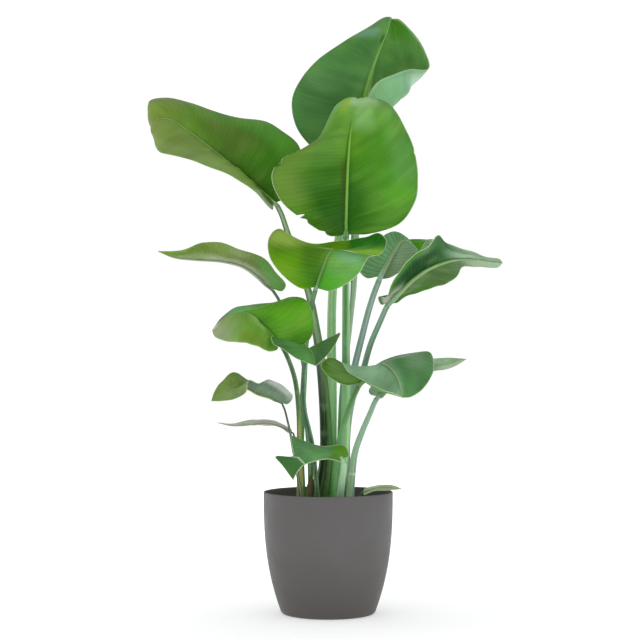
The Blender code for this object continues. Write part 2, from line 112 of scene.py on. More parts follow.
bpy.ops.mesh.primitive_plane_add(size=FLOOR_SIZE, location=(0.0, 0.0, -FLOOR_DROP))
floor = bpy.context.object
floor.name = "floor"
floor_white = bpy.data.materials.new("floor_white")
floor_white.use_nodes = True
floor_shader = floor_white.node_tree.nodes["Principled BSDF"]
floor_shader.inputs["Base Color"].default_value = (0.98, 0.98, 0.98, 1.0)
floor_shader.inputs["Roughness"].default_value = 1.0
floor_shader.inputs["Specular IOR Level"].default_value = 0.0
floor_shader.inputs["Emission Color"].default_value = (1.0, 1.0, 1.0, 1.0)
floor_shader.inputs["Emission Strength"].default_value = 0.37
floor.data.materials.append(floor_white)


# The planter
# A round moulded plastic planter, mid grey and matt, 30 cm across the rim and 28 cm high. Its
# wall leans out from a narrower foot and is upright at the top, with a thin rounded rim. It
# stands on a narrow ring under its foot.
POT_HEIGHT = 0.280
POT_RIM_RADIUS = 0.150
POT_FOOT_RADIUS = 0.108
POT_FOOT_ROUND = 0.004
POT_RING_WIDTH = 0.016
POT_RING_STEP = 0.0015
POT_BELLY_POWER = 2.6
POT_WALL = 0.0032
POT_FLOOR = 0.005
POT_SIDES = 144


class Wire:
    """A number running through a finish: sums on it add the nodes that they need."""

    def __init__(self, finish, socket):
        self.finish, self.socket = finish, socket

    def sum(self, operation, first, second):
        return self.finish.node("ShaderNodeMath", {"operation": operation}, {0: first, 1: second})

    def __add__(self, other):
        return self.sum("ADD", self, other)

    __radd__ = __add__

    def __sub__(self, other):
        return self.sum("SUBTRACT", self, other)

    def __rsub__(self, other):
        return self.sum("SUBTRACT", other, self)

    def __mul__(self, other):
        return self.sum("MULTIPLY", self, other)

    __rmul__ = __mul__

    def __truediv__(self, other):
        return self.sum("DIVIDE", self, other)

    def __rtruediv__(self, other):
        return self.sum("DIVIDE", other, self)

    def __pow__(self, other):
        return self.sum("POWER", self, other)

    def __rpow__(self, other):
        return self.sum("POWER", other, self)


class Finish:
    """A material being mixed: its shader, and one way to add any other node to it."""

    def __init__(self, name, **constants):
        self.material = bpy.data.materials.new(name)
        self.material.use_nodes = True
        self.tree = self.material.node_tree
        self.shader = self.tree.nodes["Principled BSDF"]
        for socket, value in constants.items():
            self.shader.inputs[socket.replace("_", " ")].default_value = value

    def node(self, kind, settings, values, output=0):
        made = self.tree.nodes.new(kind)
        for name, value in settings.items():
            setattr(made, name, value)
        for name, value in values.items():
            if isinstance(value, Wire):
                self.tree.links.new(value.socket, made.inputs[name])
            else:
                made.inputs[name].default_value = value
        return Wire(self, made.outputs[output])

    def place(self):
        return self.node("ShaderNodeTexCoord", {}, {}, "Object")

    def parts(self, where):
        """The three numbers of a place, each as a wire of its own."""
        made = self.node("ShaderNodeSeparateXYZ", {}, {0: where}).socket.node
        return [Wire(self, socket) for socket in made.outputs]

    def mark(self, name):
        """The three numbers that each point of a piece carries under this name."""
        return self.parts(self.node("ShaderNodeAttribute", {"attribute_name": name}, {}, "Vector"))

    def spot(self, x, y, z):
        return self.node("ShaderNodeCombineXYZ", {}, {0: x, 1: y, 2: z})

    def noise(self, where, scale, detail=2.0):
        return self.node("ShaderNodeTexNoise", {}, {"Vector": where, "Scale": scale, "Detail": detail})

    def fade(self, value, low, high):
        """0 below low and 1 above high, with a soft change between; low may be the larger."""
        return self.node("ShaderNodeMapRange", {"interpolation_type": "SMOOTHSTEP"},
                         {"Value": value, "From Min": low, "From Max": high})

    def mix(self, share, first, second):
        return self.node("ShaderNodeMix", {"data_type": "RGBA"}, {0: share, 6: first, 7: second}, 2)

    def deepen(self, tone, share):
        """The same colour at about a third of its light, as far as share says."""
        dark = self.node("ShaderNodeMix", {"data_type": "RGBA", "blend_type": "MULTIPLY"},
                         {0: 1.0, 6: tone, 7: (0.30, 0.36, 0.24, 1.0)}, 2)
        return self.mix(share, tone, dark)

    def bump(self, height, depth, strength=1.0):
        return self.node("ShaderNodeBump", {},
                         {"Height": height, "Distance": depth, "Strength": strength})

    def wear(self, **wires):
        for socket, wire in wires.items():
            self.tree.links.new(wire.socket, self.shader.inputs[socket.replace("_", " ")])
        return self.material


def paint(red, green, blue):
    """A screen colour (0 to 255) as the light that it stands for."""
    return (*(((c / 255 + 0.055) / 1.055) ** 2.4 if c > 10 else c / 3295
              for c in (red, green, blue)), 1.0)


def turned(name, profile, sides):
    """A round body, from a filled disc whose edge is drawn out ring by ring along the profile."""
    bpy.ops.mesh.primitive_circle_add(vertices=sides, radius=profile[0][0], fill_type="NGON",
                                      location=(0.0, 0.0, 0.0))
    item = bpy.context.object
    item.name = item.data.name = name
    bpy.ops.object.mode_set(mode="EDIT")
    bpy.ops.mesh.select_all(action="SELECT")
    bpy.ops.transform.translate(value=(0.0, 0.0, profile[0][1]))
    bpy.ops.mesh.select_mode(type="EDGE")
    bpy.ops.mesh.region_to_loop()
    for (radius, height), (next_radius, next_height) in zip(profile, profile[1:]):
        climb = (0.0, 0.0, next_height - height)
        bpy.ops.mesh.extrude_edges_move(TRANSFORM_OT_translate={"value": climb})
        if next_radius > 0:
            grow = next_radius / radius
            bpy.ops.transform.resize(value=(grow, grow, 1.0), center_override=(0.0, 0.0, 0.0))
        else:
            bpy.ops.mesh.merge(type="CENTER")
    bpy.ops.mesh.select_all(action="SELECT")
    bpy.ops.mesh.normals_make_consistent(inside=False)
    bpy.ops.object.mode_set(mode="OBJECT")
    return item


def pot_radius(height):
    share = 1 - height / POT_HEIGHT
    return POT_RIM_RADIUS - (POT_RIM_RADIUS - POT_FOOT_RADIUS) * share**POT_BELLY_POWER


RIM_ROUND = POT_WALL / 2
ring_inside = POT_FOOT_RADIUS - POT_RING_WIDTH
pot_profile = [(ring_inside, POT_RING_STEP), (ring_inside + POT_RING_STEP, 0.0)]
for turn in np.radians([0, 22, 45, 68]):
    pot_profile.append((POT_FOOT_RADIUS - POT_FOOT_ROUND * (1 - math.sin(turn)),
                        POT_FOOT_ROUND * (1 - math.cos(turn))))
pot_profile += [(pot_radius(height), height)
                for height in np.linspace(POT_FOOT_ROUND, POT_HEIGHT - RIM_ROUND, 44)]
for turn in np.radians([30, 60, 90, 120, 150]):
    pot_profile.append((POT_RIM_RADIUS - RIM_ROUND * (1 - math.cos(turn)),
                        POT_HEIGHT - RIM_ROUND * (1 - math.sin(turn))))
pot_profile += [(pot_radius(height) - POT_WALL, height)
                for height in np.linspace(POT_HEIGHT - RIM_ROUND, POT_FLOOR + 0.006, 36)]
pot_profile += [(pot_radius(POT_FLOOR) - POT_WALL - 0.003, POT_FLOOR), (0.0, POT_FLOOR)]
planter = turned("planter", pot_profile, POT_SIDES)
bpy.ops.object.shade_smooth_by_angle(angle=math.radians(40))

pot_grey = Finish("pot_grey", Roughness=0.5, Specular_IOR_Level=0.30)
where = pot_grey.place()
height = pot_grey.parts(where)[2]
cloud = pot_grey.noise(where, 5.0, 3.0)
speck = pot_grey.noise(where, 900.0, 2.0)
grain = pot_grey.noise(where, 260.0, 4.0)
rub = pot_grey.noise(where, 26.0, 4.0)
tone = pot_grey.mix(pot_grey.fade(cloud, 0.35, 0.68), paint(101, 99, 98), paint(107, 105, 105))
# Painted shade: the grey darkens towards the planter's foot.
tone = pot_grey.mix(pot_grey.fade(height, 0.20, 0.0) * 0.9, tone, paint(86, 82, 79))
tone = pot_grey.mix(pot_grey.fade(speck, 0.62, 0.74) * 0.25, tone, paint(128, 127, 124))
pot_grey.wear(
    Base_Color=tone,
    Roughness=0.46 + 0.12 * pot_grey.fade(rub, 0.3, 0.75),
    Normal=pot_grey.bump(grain + speck * 0.5, 0.00012, 0.5),
)
planter.data.materials.append(pot_grey.material)
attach(planter, "root")
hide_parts("pot")


# The soil
# Dark potting soil up to 35 mm below the rim, uneven on top, with crumbs of peat, chips of bark
# and a few white grains of perlite lying loose on it.
SOIL_TOP = 0.245
SOIL_GAP = 0.0006
soil_profile = [(pot_radius(POT_FLOOR + 0.001) - POT_WALL - 0.004, POT_FLOOR + SOIL_GAP)]
soil_profile += [(pot_radius(height) - POT_WALL - SOIL_GAP, height)
                 for height in np.linspace(POT_FLOOR + 0.008, SOIL_TOP - 0.003, 16)]
SOIL_EDGE = soil_profile[-1][0]
soil_profile += [(SOIL_EDGE * share, SOIL_TOP) for share in np.linspace(0.985, 0.01, 60)]
soil_profile += [(0.0, SOIL_TOP)]
soil_bed = turned("soil_bed", soil_profile, POT_SIDES)
bumps = bpy.data.textures.new("soil_bumps", "CLOUDS")
bumps.noise_scale = 0.022
bumps.noise_depth = 4
bed_points = soil_bed.vertex_groups.new(name="top")
bed_points.add([v.index for v in soil_bed.data.vertices if v.co.z > SOIL_TOP - 0.001], 1.0, "REPLACE")
heave = soil_bed.modifiers.new("Heave", "DISPLACE")
heave.texture = bumps
heave.texture_coords = "LOCAL"
heave.direction = "Z"
heave.strength = 0.009
heave.mid_level = 0.72
heave.vertex_group = "top"
bpy.ops.object.modifier_apply(modifier="Heave")
bpy.ops.object.shade_smooth()

peat = Finish("peat", Roughness=0.95, Specular_IOR_Level=0.25)
where = peat.place()
clod = peat.noise(where, 90.0, 5.0)
fibre = peat.noise(where, 420.0, 3.0)
tone = peat.mix(peat.fade(clod, 0.38, 0.66), paint(44, 35, 29), paint(84, 66, 51))
tone = peat.mix(peat.fade(fibre, 0.58, 0.75) * 0.6, tone, paint(112, 90, 68))
peat.wear(
    Base_Color=tone,
    Roughness=0.88 + 0.1 * peat.fade(clod, 0.3, 0.7),
    Normal=peat.bump(clod + fibre * 0.4, 0.003, 0.8),
)
soil_bed.data.materials.append(peat.material)
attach(soil_bed, "root")
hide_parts("soil")


def scatter(name, count, sizes, flatness, seed, finish):
    """Loose grains on the soil: one small stone-like shape, copied, squashed and turned."""
    bpy.ops.mesh.primitive_ico_sphere_add(subdivisions=1, radius=1.0, location=(0.0, 0.0, 0.0))
    pattern = bpy.context.object
    shape = np.array([v.co for v in pattern.data.vertices])
    faces = np.array([p.vertices for p in pattern.data.polygons])
    bpy.ops.object.delete()
    draw = random.Random(seed)
    bed = np.array([v.co for v in soil_bed.data.vertices if v.co.z > SOIL_TOP - 0.008])
    points, triangles = [], []
    for index in range(count):
        reach = SOIL_EDGE * 0.95 * math.sqrt(draw.random())
        turn = draw.random() * math.tau
        place = np.array([reach * math.cos(turn), reach * math.sin(turn)])
        ground = bed[np.argmin(((bed[:, :2] - place) ** 2).sum(axis=1)), 2]
        size = draw.uniform(*sizes)
        scale = size * np.array([draw.uniform(0.7, 1.5), draw.uniform(0.6, 1.1), draw.uniform(*flatness)])
        rough = shape * (1 + 0.22 * np.array([draw.uniform(-1, 1) for _ in shape])[:, None])
        spin = draw.random() * math.tau
        cos, sin = math.cos(spin), math.sin(spin)
        body = rough * scale @ np.array([[cos, sin, 0], [-sin, cos, 0], [0, 0, 1]])
        points.append(body + [*place, ground + scale[2] * 0.45])
        triangles.append(faces + index * len(shape))
    data = bpy.data.meshes.new(name)
    data.from_pydata(np.concatenate(points).tolist(), [], np.concatenate(triangles).tolist())
    item = bpy.data.objects.new(name, data)
    scene.collection.objects.link(item)
    item.data.materials.append(finish)
    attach(item, "root")


bark = Finish("bark_chip", Roughness=0.9)
streak = bark.noise(bark.place(), 260.0, 4.0)
bark.wear(Base_Color=bark.mix(streak, paint(58, 42, 32), paint(122, 92, 66)),
          Normal=bark.bump(streak, 0.0006, 0.6))
perlite = Finish("perlite", Roughness=0.85)
pores = perlite.noise(perlite.place(), 700.0, 3.0)
perlite.wear(Base_Color=perlite.mix(pores, paint(176, 170, 158), paint(226, 222, 212)),
             Normal=perlite.bump(pores, 0.0004, 0.6))
scatter("peat_crumbs", 900, (0.0012, 0.0036), (0.6, 1.0), 3, peat.material)
scatter("bark_chips", 130, (0.0030, 0.0068), (0.25, 0.45), 5, bark.material)
scatter("perlite_grains", 90, (0.0009, 0.0019), (0.7, 1.0), 7, perlite.material)


# Leaf 1, and how every leaf is made
# A leaf is a fleshy stalk with a channel along it, which runs on under the blade as its midrib, and
# a thin leathery blade from the midrib to two edges. Lines are whole millimetres, as in the solids.
# Leaf 1 stands highest, at the back; its right half curls forward and shows the pale underside.
MM = 0.001
HOLE_BOTTOM = 0.2133
STRAIGHT_FOOT = 0.036
LINE_STEPS = 24
STALK_TAPER = 1.3
STALK_RINGS = 90
STALK_SIDES = 28
STALK_GROOVES = (0.42, 0.34, 0.30)
STALK_CLIMB = (0.25, 0.62)
GROOVE_HALF_ANGLE = 0.62
BLADE_NECK = 0.008
BLADE_THICKNESS = 0.0007
BLADE_ROW = 0.0034
LEAST_ROWS = 70
HALF_COLUMNS = 20
PLEAT_LENGTHS = (0.041, 0.027)
CHANNEL_DEPTH = 0.0016
CHANNEL_WIDTH = 0.009
MAIN_VEINS = 0.0085
UPPER_RIBBED = 0.05
UPPER_RIB_WIDTH = 0.50
UPPER_GLOSS = 0.30
UNDER_VEINS = (158, 182, 142)
UNDER_RIB_WIDTH = 0.60
UNDER_GLOSS = 0.40
RIB_RINGS = 70
RIB_SIDES = 16
RIB_GROOVE = 0.30


def smooth_line(points):
    """A smooth line through the points, drawn in short steps, with its length at each step."""
    knots = np.array(points, float)
    knots = np.vstack([2 * knots[0] - knots[1], knots, 2 * knots[-1] - knots[-2]])
    line = []
    for before, start, end, after in zip(knots, knots[1:], knots[2:], knots[3:]):
        pairs = ((before, start), (start, end), (end, after))
        spans = [math.sqrt(np.linalg.norm(b - a)) for a, b in pairs]
        enter = (start - before) / spans[0] - (end - before) / (spans[0] + spans[1])
        leave = (after - end) / spans[2] - (after - start) / (spans[1] + spans[2])
        enter = (enter + (end - start) / spans[1]) * spans[1]
        leave = (leave + (end - start) / spans[1]) * spans[1]
        for t in np.arange(LINE_STEPS) / LINE_STEPS:
            line.append((2 * t**3 - 3 * t**2 + 1) * start + (t**3 - 2 * t**2 + t) * enter
                        + (3 * t**2 - 2 * t**3) * end + (t**3 - t**2) * leave)
    line = np.array([*line, knots[-2]])
    lengths = np.concatenate([[0], np.cumsum(np.linalg.norm(np.diff(line, axis=0), axis=1))])
    return line, lengths


def read_line(line, lengths, where):
    return np.stack([np.interp(where, lengths, line[:, axis]) for axis in range(3)], axis=-1)


def unit(vectors):
    return vectors / np.maximum(np.linalg.norm(vectors, axis=-1), 1e-9)[..., None]


def rooted(points):
    """Millimetre points in metres, led straight up out of the soil."""
    hole = np.array([points[0][0] * MM, points[0][1] * MM, HOLE_BOTTOM])
    return [hole, hole + [0, 0, STRAIGHT_FOOT]] + [np.array(point) * MM for point in points[1:]]


def stalk_radius(radii, where, length):
    """A stalk's radius at a length along it: its foot's up to the soil, then thinner to its top."""
    foot, top = np.array(radii) * MM
    share = np.clip((where - STRAIGHT_FOOT) / (length - STRAIGHT_FOOT), 0, 1)
    return top + (foot - top) * (1 - share) ** STALK_TAPER, share


def grid_piece(name, across, along, place):
    """A flat grid whose points are all moved by place(u, v), where u and v run from 0 to 1."""
    bpy.ops.mesh.primitive_grid_add(x_subdivisions=across, y_subdivisions=along, size=1.0,
                                    calc_uvs=True, location=(0.0, 0.0, 0.0))
    item = bpy.context.object
    item.name = item.data.name = name
    flat = np.empty(3 * len(item.data.vertices))
    item.data.vertices.foreach_get("co", flat)
    u, v = flat.reshape(-1, 3)[:, :2].T + 0.5
    points, marks = place(u, v)
    item.data.vertices.foreach_set("co", np.ascontiguousarray(points, float).ravel())
    for mark, values in marks.items():
        made = item.data.attributes.new(mark, "FLOAT_VECTOR", "POINT")
        made.data.foreach_set("vector", np.stack(values, axis=1).ravel())
    item.data.update()
    return item


def weld():
    bpy.ops.object.mode_set(mode="EDIT")
    bpy.ops.mesh.select_all(action="SELECT")
    bpy.ops.mesh.remove_doubles(threshold=0.00002)
    bpy.ops.object.mode_set(mode="OBJECT")


def thicken(item, thickness, offset, face_material=0, rim_material=0):
    skin = item.modifiers.new("Thickness", "SOLIDIFY")
    skin.thickness = thickness
    skin.offset = offset
    skin.material_offset = face_material
    skin.material_offset_rim = rim_material
    bpy.ops.object.modifier_apply(modifier="Thickness")


def tube_piece(name, line, ups, radii, grooves, heights, around):
    """A closed stem along the line, round but for the groove that is sunk in its upper side."""
    along = unit(np.gradient(line, axis=0))
    side = unit(np.cross(along, ups))
    over = np.cross(side, along)
    rows = len(line) - 1

    def place(u, v):
        row = np.rint(v * rows).astype(int)
        turn = u * math.tau
        from_top = np.minimum(turn, math.tau - turn)
        shrunk = 1 - grooves[row] * np.exp(-((from_top / GROOVE_HALF_ANGLE) ** 2))
        out = np.cos(turn)[:, None] * over[row] + np.sin(turn)[:, None] * side[row]
        # The third mark, how far each point faces +x, places the painted shade and light on a stem's
        # sides.
        return line[row] + out * (radii[row] * shrunk)[:, None], {"stem": [u, heights[row], out[:, 0]]}

    item = grid_piece(name, around, rows, place)
    weld()
    bpy.ops.object.mode_set(mode="EDIT")
    bpy.ops.mesh.select_mode(type="EDGE")
    bpy.ops.mesh.select_all(action="DESELECT")
    bpy.ops.mesh.select_non_manifold()
    bpy.ops.mesh.edge_face_add()
    bpy.ops.mesh.select_all(action="SELECT")
    bpy.ops.mesh.normals_make_consistent(inside=False)
    bpy.ops.object.mode_set(mode="OBJECT")
    bpy.ops.object.shade_smooth()
    return item


def stem_finish(name, colours, gloss=0.42, rings=(), climb=STALK_CLIMB):
    """Stalk or midrib: green from the soil to the blade, painted shade and light on its left and
    right sides, fine long fibres, a waxy bloom, and rings where old sheaths sat."""
    made = Finish(name, Specular_IOR_Level=0.22)
    low, high, left, right = (paint(*colour) for colour in colours)
    turn, height, aside = made.mark("stem")
    fibre = made.noise(made.spot(turn * 46.0, height * 5.0, 0.0), 1.0, 3.0)
    band = made.noise(made.spot(turn * 9.0, height * 2.4, 3.0), 1.0)
    bloom = made.noise(made.place(), 38.0, 4.0)
    tone = made.mix(made.fade(height, *climb), low, high)
    # Painted shade and light: each side of the stalk takes its own tone by which way it faces.
    tone = made.mix(made.fade(aside, -0.10, -0.75) * 0.85, tone, left)
    tone = made.mix(made.fade(aside, 0.05, 0.70) * 0.85, tone, right)
    tone = made.mix(made.fade(band, 0.48, 0.70) * 0.34, tone, paint(180, 228, 138))
    tone = made.deepen(tone, made.fade(band, 0.50, 0.32) * 0.42)
    tone = made.mix(made.fade(fibre, 0.52, 0.74) * 0.22, tone, paint(188, 222, 162))
    tone = made.mix(made.fade(bloom, 0.48, 0.72) * 0.15, tone, paint(178, 210, 182))
    relief = fibre + band * 0.6
    for ring in rings:
        near = (made.fade(height, ring - 0.0042, ring - 0.0020)
                * made.fade(height, ring + 0.0040, ring + 0.0020))
        tone = made.mix(near * 0.95, tone, paint(230, 240, 210))
        relief = relief + near * 1.6
    return made.wear(Base_Color=tone, Roughness=gloss + 0.14 * made.fade(bloom, 0.3, 0.7),
                     Normal=made.bump(relief, 0.0005, 0.45))


def blade_finish(name, colours, length, top, seed, veins, rib_colour, rib_reach, rib_width, ribbed,
                 margin, gloss, patches):
    """One face of a blade: its left, right and tip colours, veins that sweep from midrib to edge,
    streaks, blotches, a pale midrib with painted shade beside it, and a pale rim. Patches tint a
    part of the face between shares of its length and width; on some leaves they are painted
    highlights and painted shade."""
    made = Finish(name, Specular_IOR_Level=0.14)
    # A single colour serves both sides.
    shades = [paint(*colour) for colour in colours]
    left, right = (shades * 2)[:2]
    pale = paint(*veins)
    across, along, sweep = made.mark("share")
    from_rib, from_edge = made.mark("reach")[:2]
    out = made.node("ShaderNodeMath", {"operation": "ABSOLUTE"}, {0: across})
    where = made.place()
    row = sweep * (length / MAIN_VEINS) + made.noise(where, 9.0) * 1.3
    wave = made.node("ShaderNodeMath", {"operation": "COSINE"}, {0: row * math.tau})
    ridge = (wave * 0.5 + 0.5) ** 5.0
    band = made.noise(made.spot(row * 0.17, out * 1.1, across * 0.5 + (seed + 9)), 1.0, 1.0)
    streak = made.noise(made.spot(row * 0.55, out * 1.3, across * 0.4 + seed), 1.0, 3.0)
    thread = made.noise(made.spot(row * 2.0, out * 1.8, across * 0.4 + (seed + 5)), 1.0)
    blotch = made.noise(where, 6.0 + seed % 3)
    tone = made.mix(made.fade(across, -0.30, 0.30), left, right)
    if len(shades) > 2:
        tone = made.mix(made.fade(along, 0.48, 0.92), tone, shades[2])
    tone = made.deepen(tone, made.fade(blotch, 0.54, 0.34) * 0.46)
    tone = made.mix(made.fade(blotch, 0.50, 0.72) * 0.36, tone, paint(128, 178, 40))
    tone = made.deepen(tone, made.fade(band, 0.56, 0.36) * 0.16)
    tone = made.mix(made.fade(band, 0.52, 0.72) * 0.22, tone, pale)
    tone = made.deepen(tone, made.fade(streak, 0.52, 0.34) * 0.12)
    tone = made.mix(made.fade(streak, 0.56, 0.76) * 0.20, tone, pale)
    tone = made.mix(made.fade(thread, 0.56, 0.78) * 0.16, tone, pale)
    tone = made.deepen(tone, made.fade(thread, 0.44, 0.26) * 0.14)
    for colour, strength, (start, end), (inner, outer) in patches:
        soft, wide = min(0.06, (end - start) / 3), min(0.17, (outer - inner) / 3)
        inside = (made.fade(along, start - soft, start + soft)
                  * made.fade(along, end + soft, end - soft)
                  * made.fade(across, inner - wide, inner + wide)
                  * made.fade(across, outer + wide, outer - wide))
        tone = made.mix(inside * strength, tone, paint(*colour))
    tone = made.mix(ridge * ribbed, tone, pale)
    tone = made.deepen(tone, made.fade(wave, -0.1, -1.0) * (ribbed * 1.3))
    from_rib = from_rib / ((1.0 - along * 0.72) * (top * rib_width))
    # Painted shade: a dark band beside the midrib, where its channel would be in shade.
    beside = made.fade(from_rib, 5.0, 1.2) * made.fade(along, rib_reach, rib_reach - 0.4)
    tone = made.mix(beside * 0.34, tone, paint(34, 74, 14))
    on_rib = made.fade(from_rib, 1.15, 0.75) * made.fade(along, rib_reach, rib_reach - 0.2)
    tone = made.mix(on_rib * 0.85, tone, paint(*rib_colour))
    tone = made.mix(made.fade(from_edge, 0.0024, 0.0009) * margin, tone, paint(196, 222, 172))
    return made.wear(
        Base_Color=tone,
        Roughness=gloss + 0.10 * made.fade(streak, 0.3, 0.7) + 0.08 * made.fade(blotch, 0.4, 0.7),
        Normal=made.bump(streak + band * 0.8 + ridge * 0.5 + thread * 0.3, 0.0010, 0.5),
    )


rim = Finish("leaf_rim", Roughness=0.5)
dry = rim.noise(rim.place(), 45.0, 3.0)
leaf_rim = rim.wear(
    Base_Color=rim.mix(rim.fade(dry, 0.55, 0.72), paint(188, 208, 152), paint(134, 108, 72)),
    Roughness=0.42 + 0.2 * rim.fade(dry, 0.3, 0.7))


def tear(blade, slits, rows):
    """The blade's faces along each slit are cut out, from the slit's inner end to the edge."""
    share = np.empty(3 * len(blade.data.vertices))
    blade.data.attributes["share"].data.foreach_get("vector", share)
    share = share.reshape(-1, 3)
    grid_rows = np.arange(len(share)) // (2 * HALF_COLUMNS + 1)
    for part in (blade.data.vertices, blade.data.edges, blade.data.polygons):
        part.foreach_set("select", [False] * len(part))
    for face in blade.data.polygons:
        corners = list(face.vertices)
        row = grid_rows[corners].min()
        for where, side, inner, _ in slits:
            if row == int(where * rows) and (share[corners, 0] * side > inner).all():
                face.select = True
    bpy.ops.object.mode_set(mode="EDIT")
    bpy.ops.mesh.select_mode(type="FACE")
    bpy.ops.mesh.delete(type="FACE")
    bpy.ops.object.mode_set(mode="OBJECT")


def grow_leaf(name, radii, stalk, rib, left, right, upper, under, stem, veins,
              left_hump=(0, 0), right_hump=(0, 0), wave=(1.0, 3.0), pleat=0.0012,
              lean=(0.14, 0.14), nicks=(), slits=(), rings=(), climb=STALK_CLIMB,
              ribbed=0.05, margin=0.4, rib_end=1.0, rib_reach=0.97, rib_colour=(142, 186, 110),
              midrib_colour=(160, 184, 120), upper_patches=(), under_patches=()):
    """A whole leaf: its blade in two faces, a pale rim, the midrib below, and its stalk.

    The radii are those of the stalk's foot and top, and the lines are the stalk's, the midrib's and
    the two edges'. A face has a left, a right and a tip colour, and the stem has one for its foot,
    its top, its left side and its right side, the side tones being painted shade and light. Nicks
    and slits give a share of the length, a side and a size. The leaf's number seeds its waves and
    streaks. Gives back the stalk's radii and line.
    """
    seed = int(name[-2:])
    top = radii[1] * MM
    line, lengths = smooth_line(rooted(stalk) + [np.array(point) * MM for point in rib])
    start = lengths[LINE_STEPS * (len(stalk) + 1)]
    ahead = read_line(line, lengths, np.array([start + BLADE_NECK, start + 2 * BLADE_NECK]))
    neck_along = unit(ahead[1] - ahead[0])
    length = lengths[-1] - start - BLADE_NECK
    base = ahead[0]
    edges = [np.array(side, float) * MM for side in (left, right)]
    sideways = edges[1][0] - edges[0][0]
    sideways -= sideways.dot(neck_along) * neck_along
    sideways = unit(sideways) * top
    rims = [smooth_line([base - sideways, *edges[0], line[-1]]),
            smooth_line([base + sideways, *edges[1], line[-1]])]

    def rib_at(share):
        return read_line(line, lengths, start + BLADE_NECK + share * length)

    def up_at(share, side):
        """The blade's upward direction at the midrib, and its span from there to one edge."""
        step = 0.004
        along = rib_at(np.minimum(share + step, 1)) - rib_at(np.maximum(share - step, 0))
        edge, edge_lengths = rims[side]
        span = read_line(edge, edge_lengths, share * edge_lengths[-1]) - rib_at(share)
        return unit((1, -1)[side] * np.cross(unit(along), span)), span

    draw = random.Random(seed)
    phases = [draw.random() * math.tau for _ in range(8)]
    rows = max(LEAST_ROWS, int(length / BLADE_ROW))

    def place(u, v):
        # The columns stand closer beside the midrib, and the rows part along each slit.
        out = np.abs(2 * u - 1)
        out = 0.35 * out + 0.65 * out**1.5
        signed = np.where(u < 0.5, -out, out)
        share = v.copy()
        for where, side, inner, gap in slits:
            parted = np.clip((out - inner) / (1 - inner), 0, 1) * gap
            pinch = np.exp(-(((out - inner) / 0.05) ** 2)) * 0.45 / rows
            near = np.exp(-(((v - where) / 0.035) ** 2)) * (np.sign(signed) == side)
            share = share + np.sign(v - where) * (parted / 2 - pinch) * near
        share = np.clip(share, 0, 1)
        points = np.empty((len(u), 3))
        width = np.empty(len(u))
        for side, mask in enumerate((signed < 0, signed >= 0)):
            s, t = share[mask], out[mask]
            up, span = up_at(s, side)
            wide = np.linalg.norm(span, axis=1)
            # Nicks shorten the span. Humps, the edge's wave, the pleats and the midrib's channel
            # lift or sink it.
            hump = (left_hump, right_hump)[side]
            bow = np.interp(s, np.linspace(0, 1, len(hump)), hump) * MM * 4 * t * (1 - t)
            cut = np.zeros(len(s))
            for where, nick_side, deep, broad in nicks:
                if nick_side == (-1, 1)[side]:
                    bite = np.clip(1 - np.abs(s - where) / broad, 0, 1)
                    cut += deep * MM * bite * np.clip((t - 0.7) / 0.3, 0, 1)
            keep = 1 - cut / np.maximum(wide, 0.01)
            height, count = wave
            ripple = height * MM * t**2 * (
                0.9 * np.sin(count * math.tau * s + phases[side])
                + 0.5 * np.sin(2.3 * count * math.tau * s + phases[side + 2] + 3 * t))
            turns = (s - lean[side] * (0.75 * t + 0.25 * t**2)) * length * math.tau
            folds = (np.sin(turns / PLEAT_LENGTHS[0] + phases[side + 4])
                     + 0.7 * np.sin(turns / PLEAT_LENGTHS[1] + phases[side + 6]))
            ripple += pleat * folds * np.sin(math.pi * t**0.7) * np.clip(wide / 0.10, 0, 1)
            channel = -CHANNEL_DEPTH * np.exp(-((t * wide / CHANNEL_WIDTH) ** 2)) * (1 - s) ** 0.7
            fade_ends = np.clip(np.minimum(s, 1 - s) / 0.06, 0, 1)
            lift = bow + (ripple * np.clip(wide / 0.05, 0, 1) + channel) * fade_ends
            points[mask] = rib_at(s) + span * (t * keep)[:, None] + up * lift[:, None]
            width[mask] = wide
        # No edge swings out past the box that holds the solids.
        points = np.clip(points, np.array(cad_low) + BLADE_THICKNESS,
                         np.array(cad_high) - BLADE_THICKNESS)
        sweep = share - np.where(signed < 0, *lean) * (0.75 * out + 0.25 * out**2)
        return points, {"share": [signed, share, sweep],
                        "reach": [out * width, (1 - out) * width, 0 * width]}

    blade = grid_piece(name + "_blade_piece", 2 * HALF_COLUMNS, rows, place)
    if slits:
        tear(blade, slits, rows)
    weld()
    bpy.ops.object.shade_smooth()
    for finish in (
            blade_finish(name + "_upper", upper, length, top, seed, veins, rib_colour, rib_reach,
                         UPPER_RIB_WIDTH, UPPER_RIBBED, margin, UPPER_GLOSS, upper_patches),
            blade_finish(name + "_under", under, length, top, seed, UNDER_VEINS, midrib_colour,
                         rib_reach, UNDER_RIB_WIDTH, ribbed, margin, UNDER_GLOSS, under_patches),
            leaf_rim):
        blade.data.materials.append(finish)
    thicken(blade, BLADE_THICKNESS, offset=-1.0, face_material=1, rim_material=2)

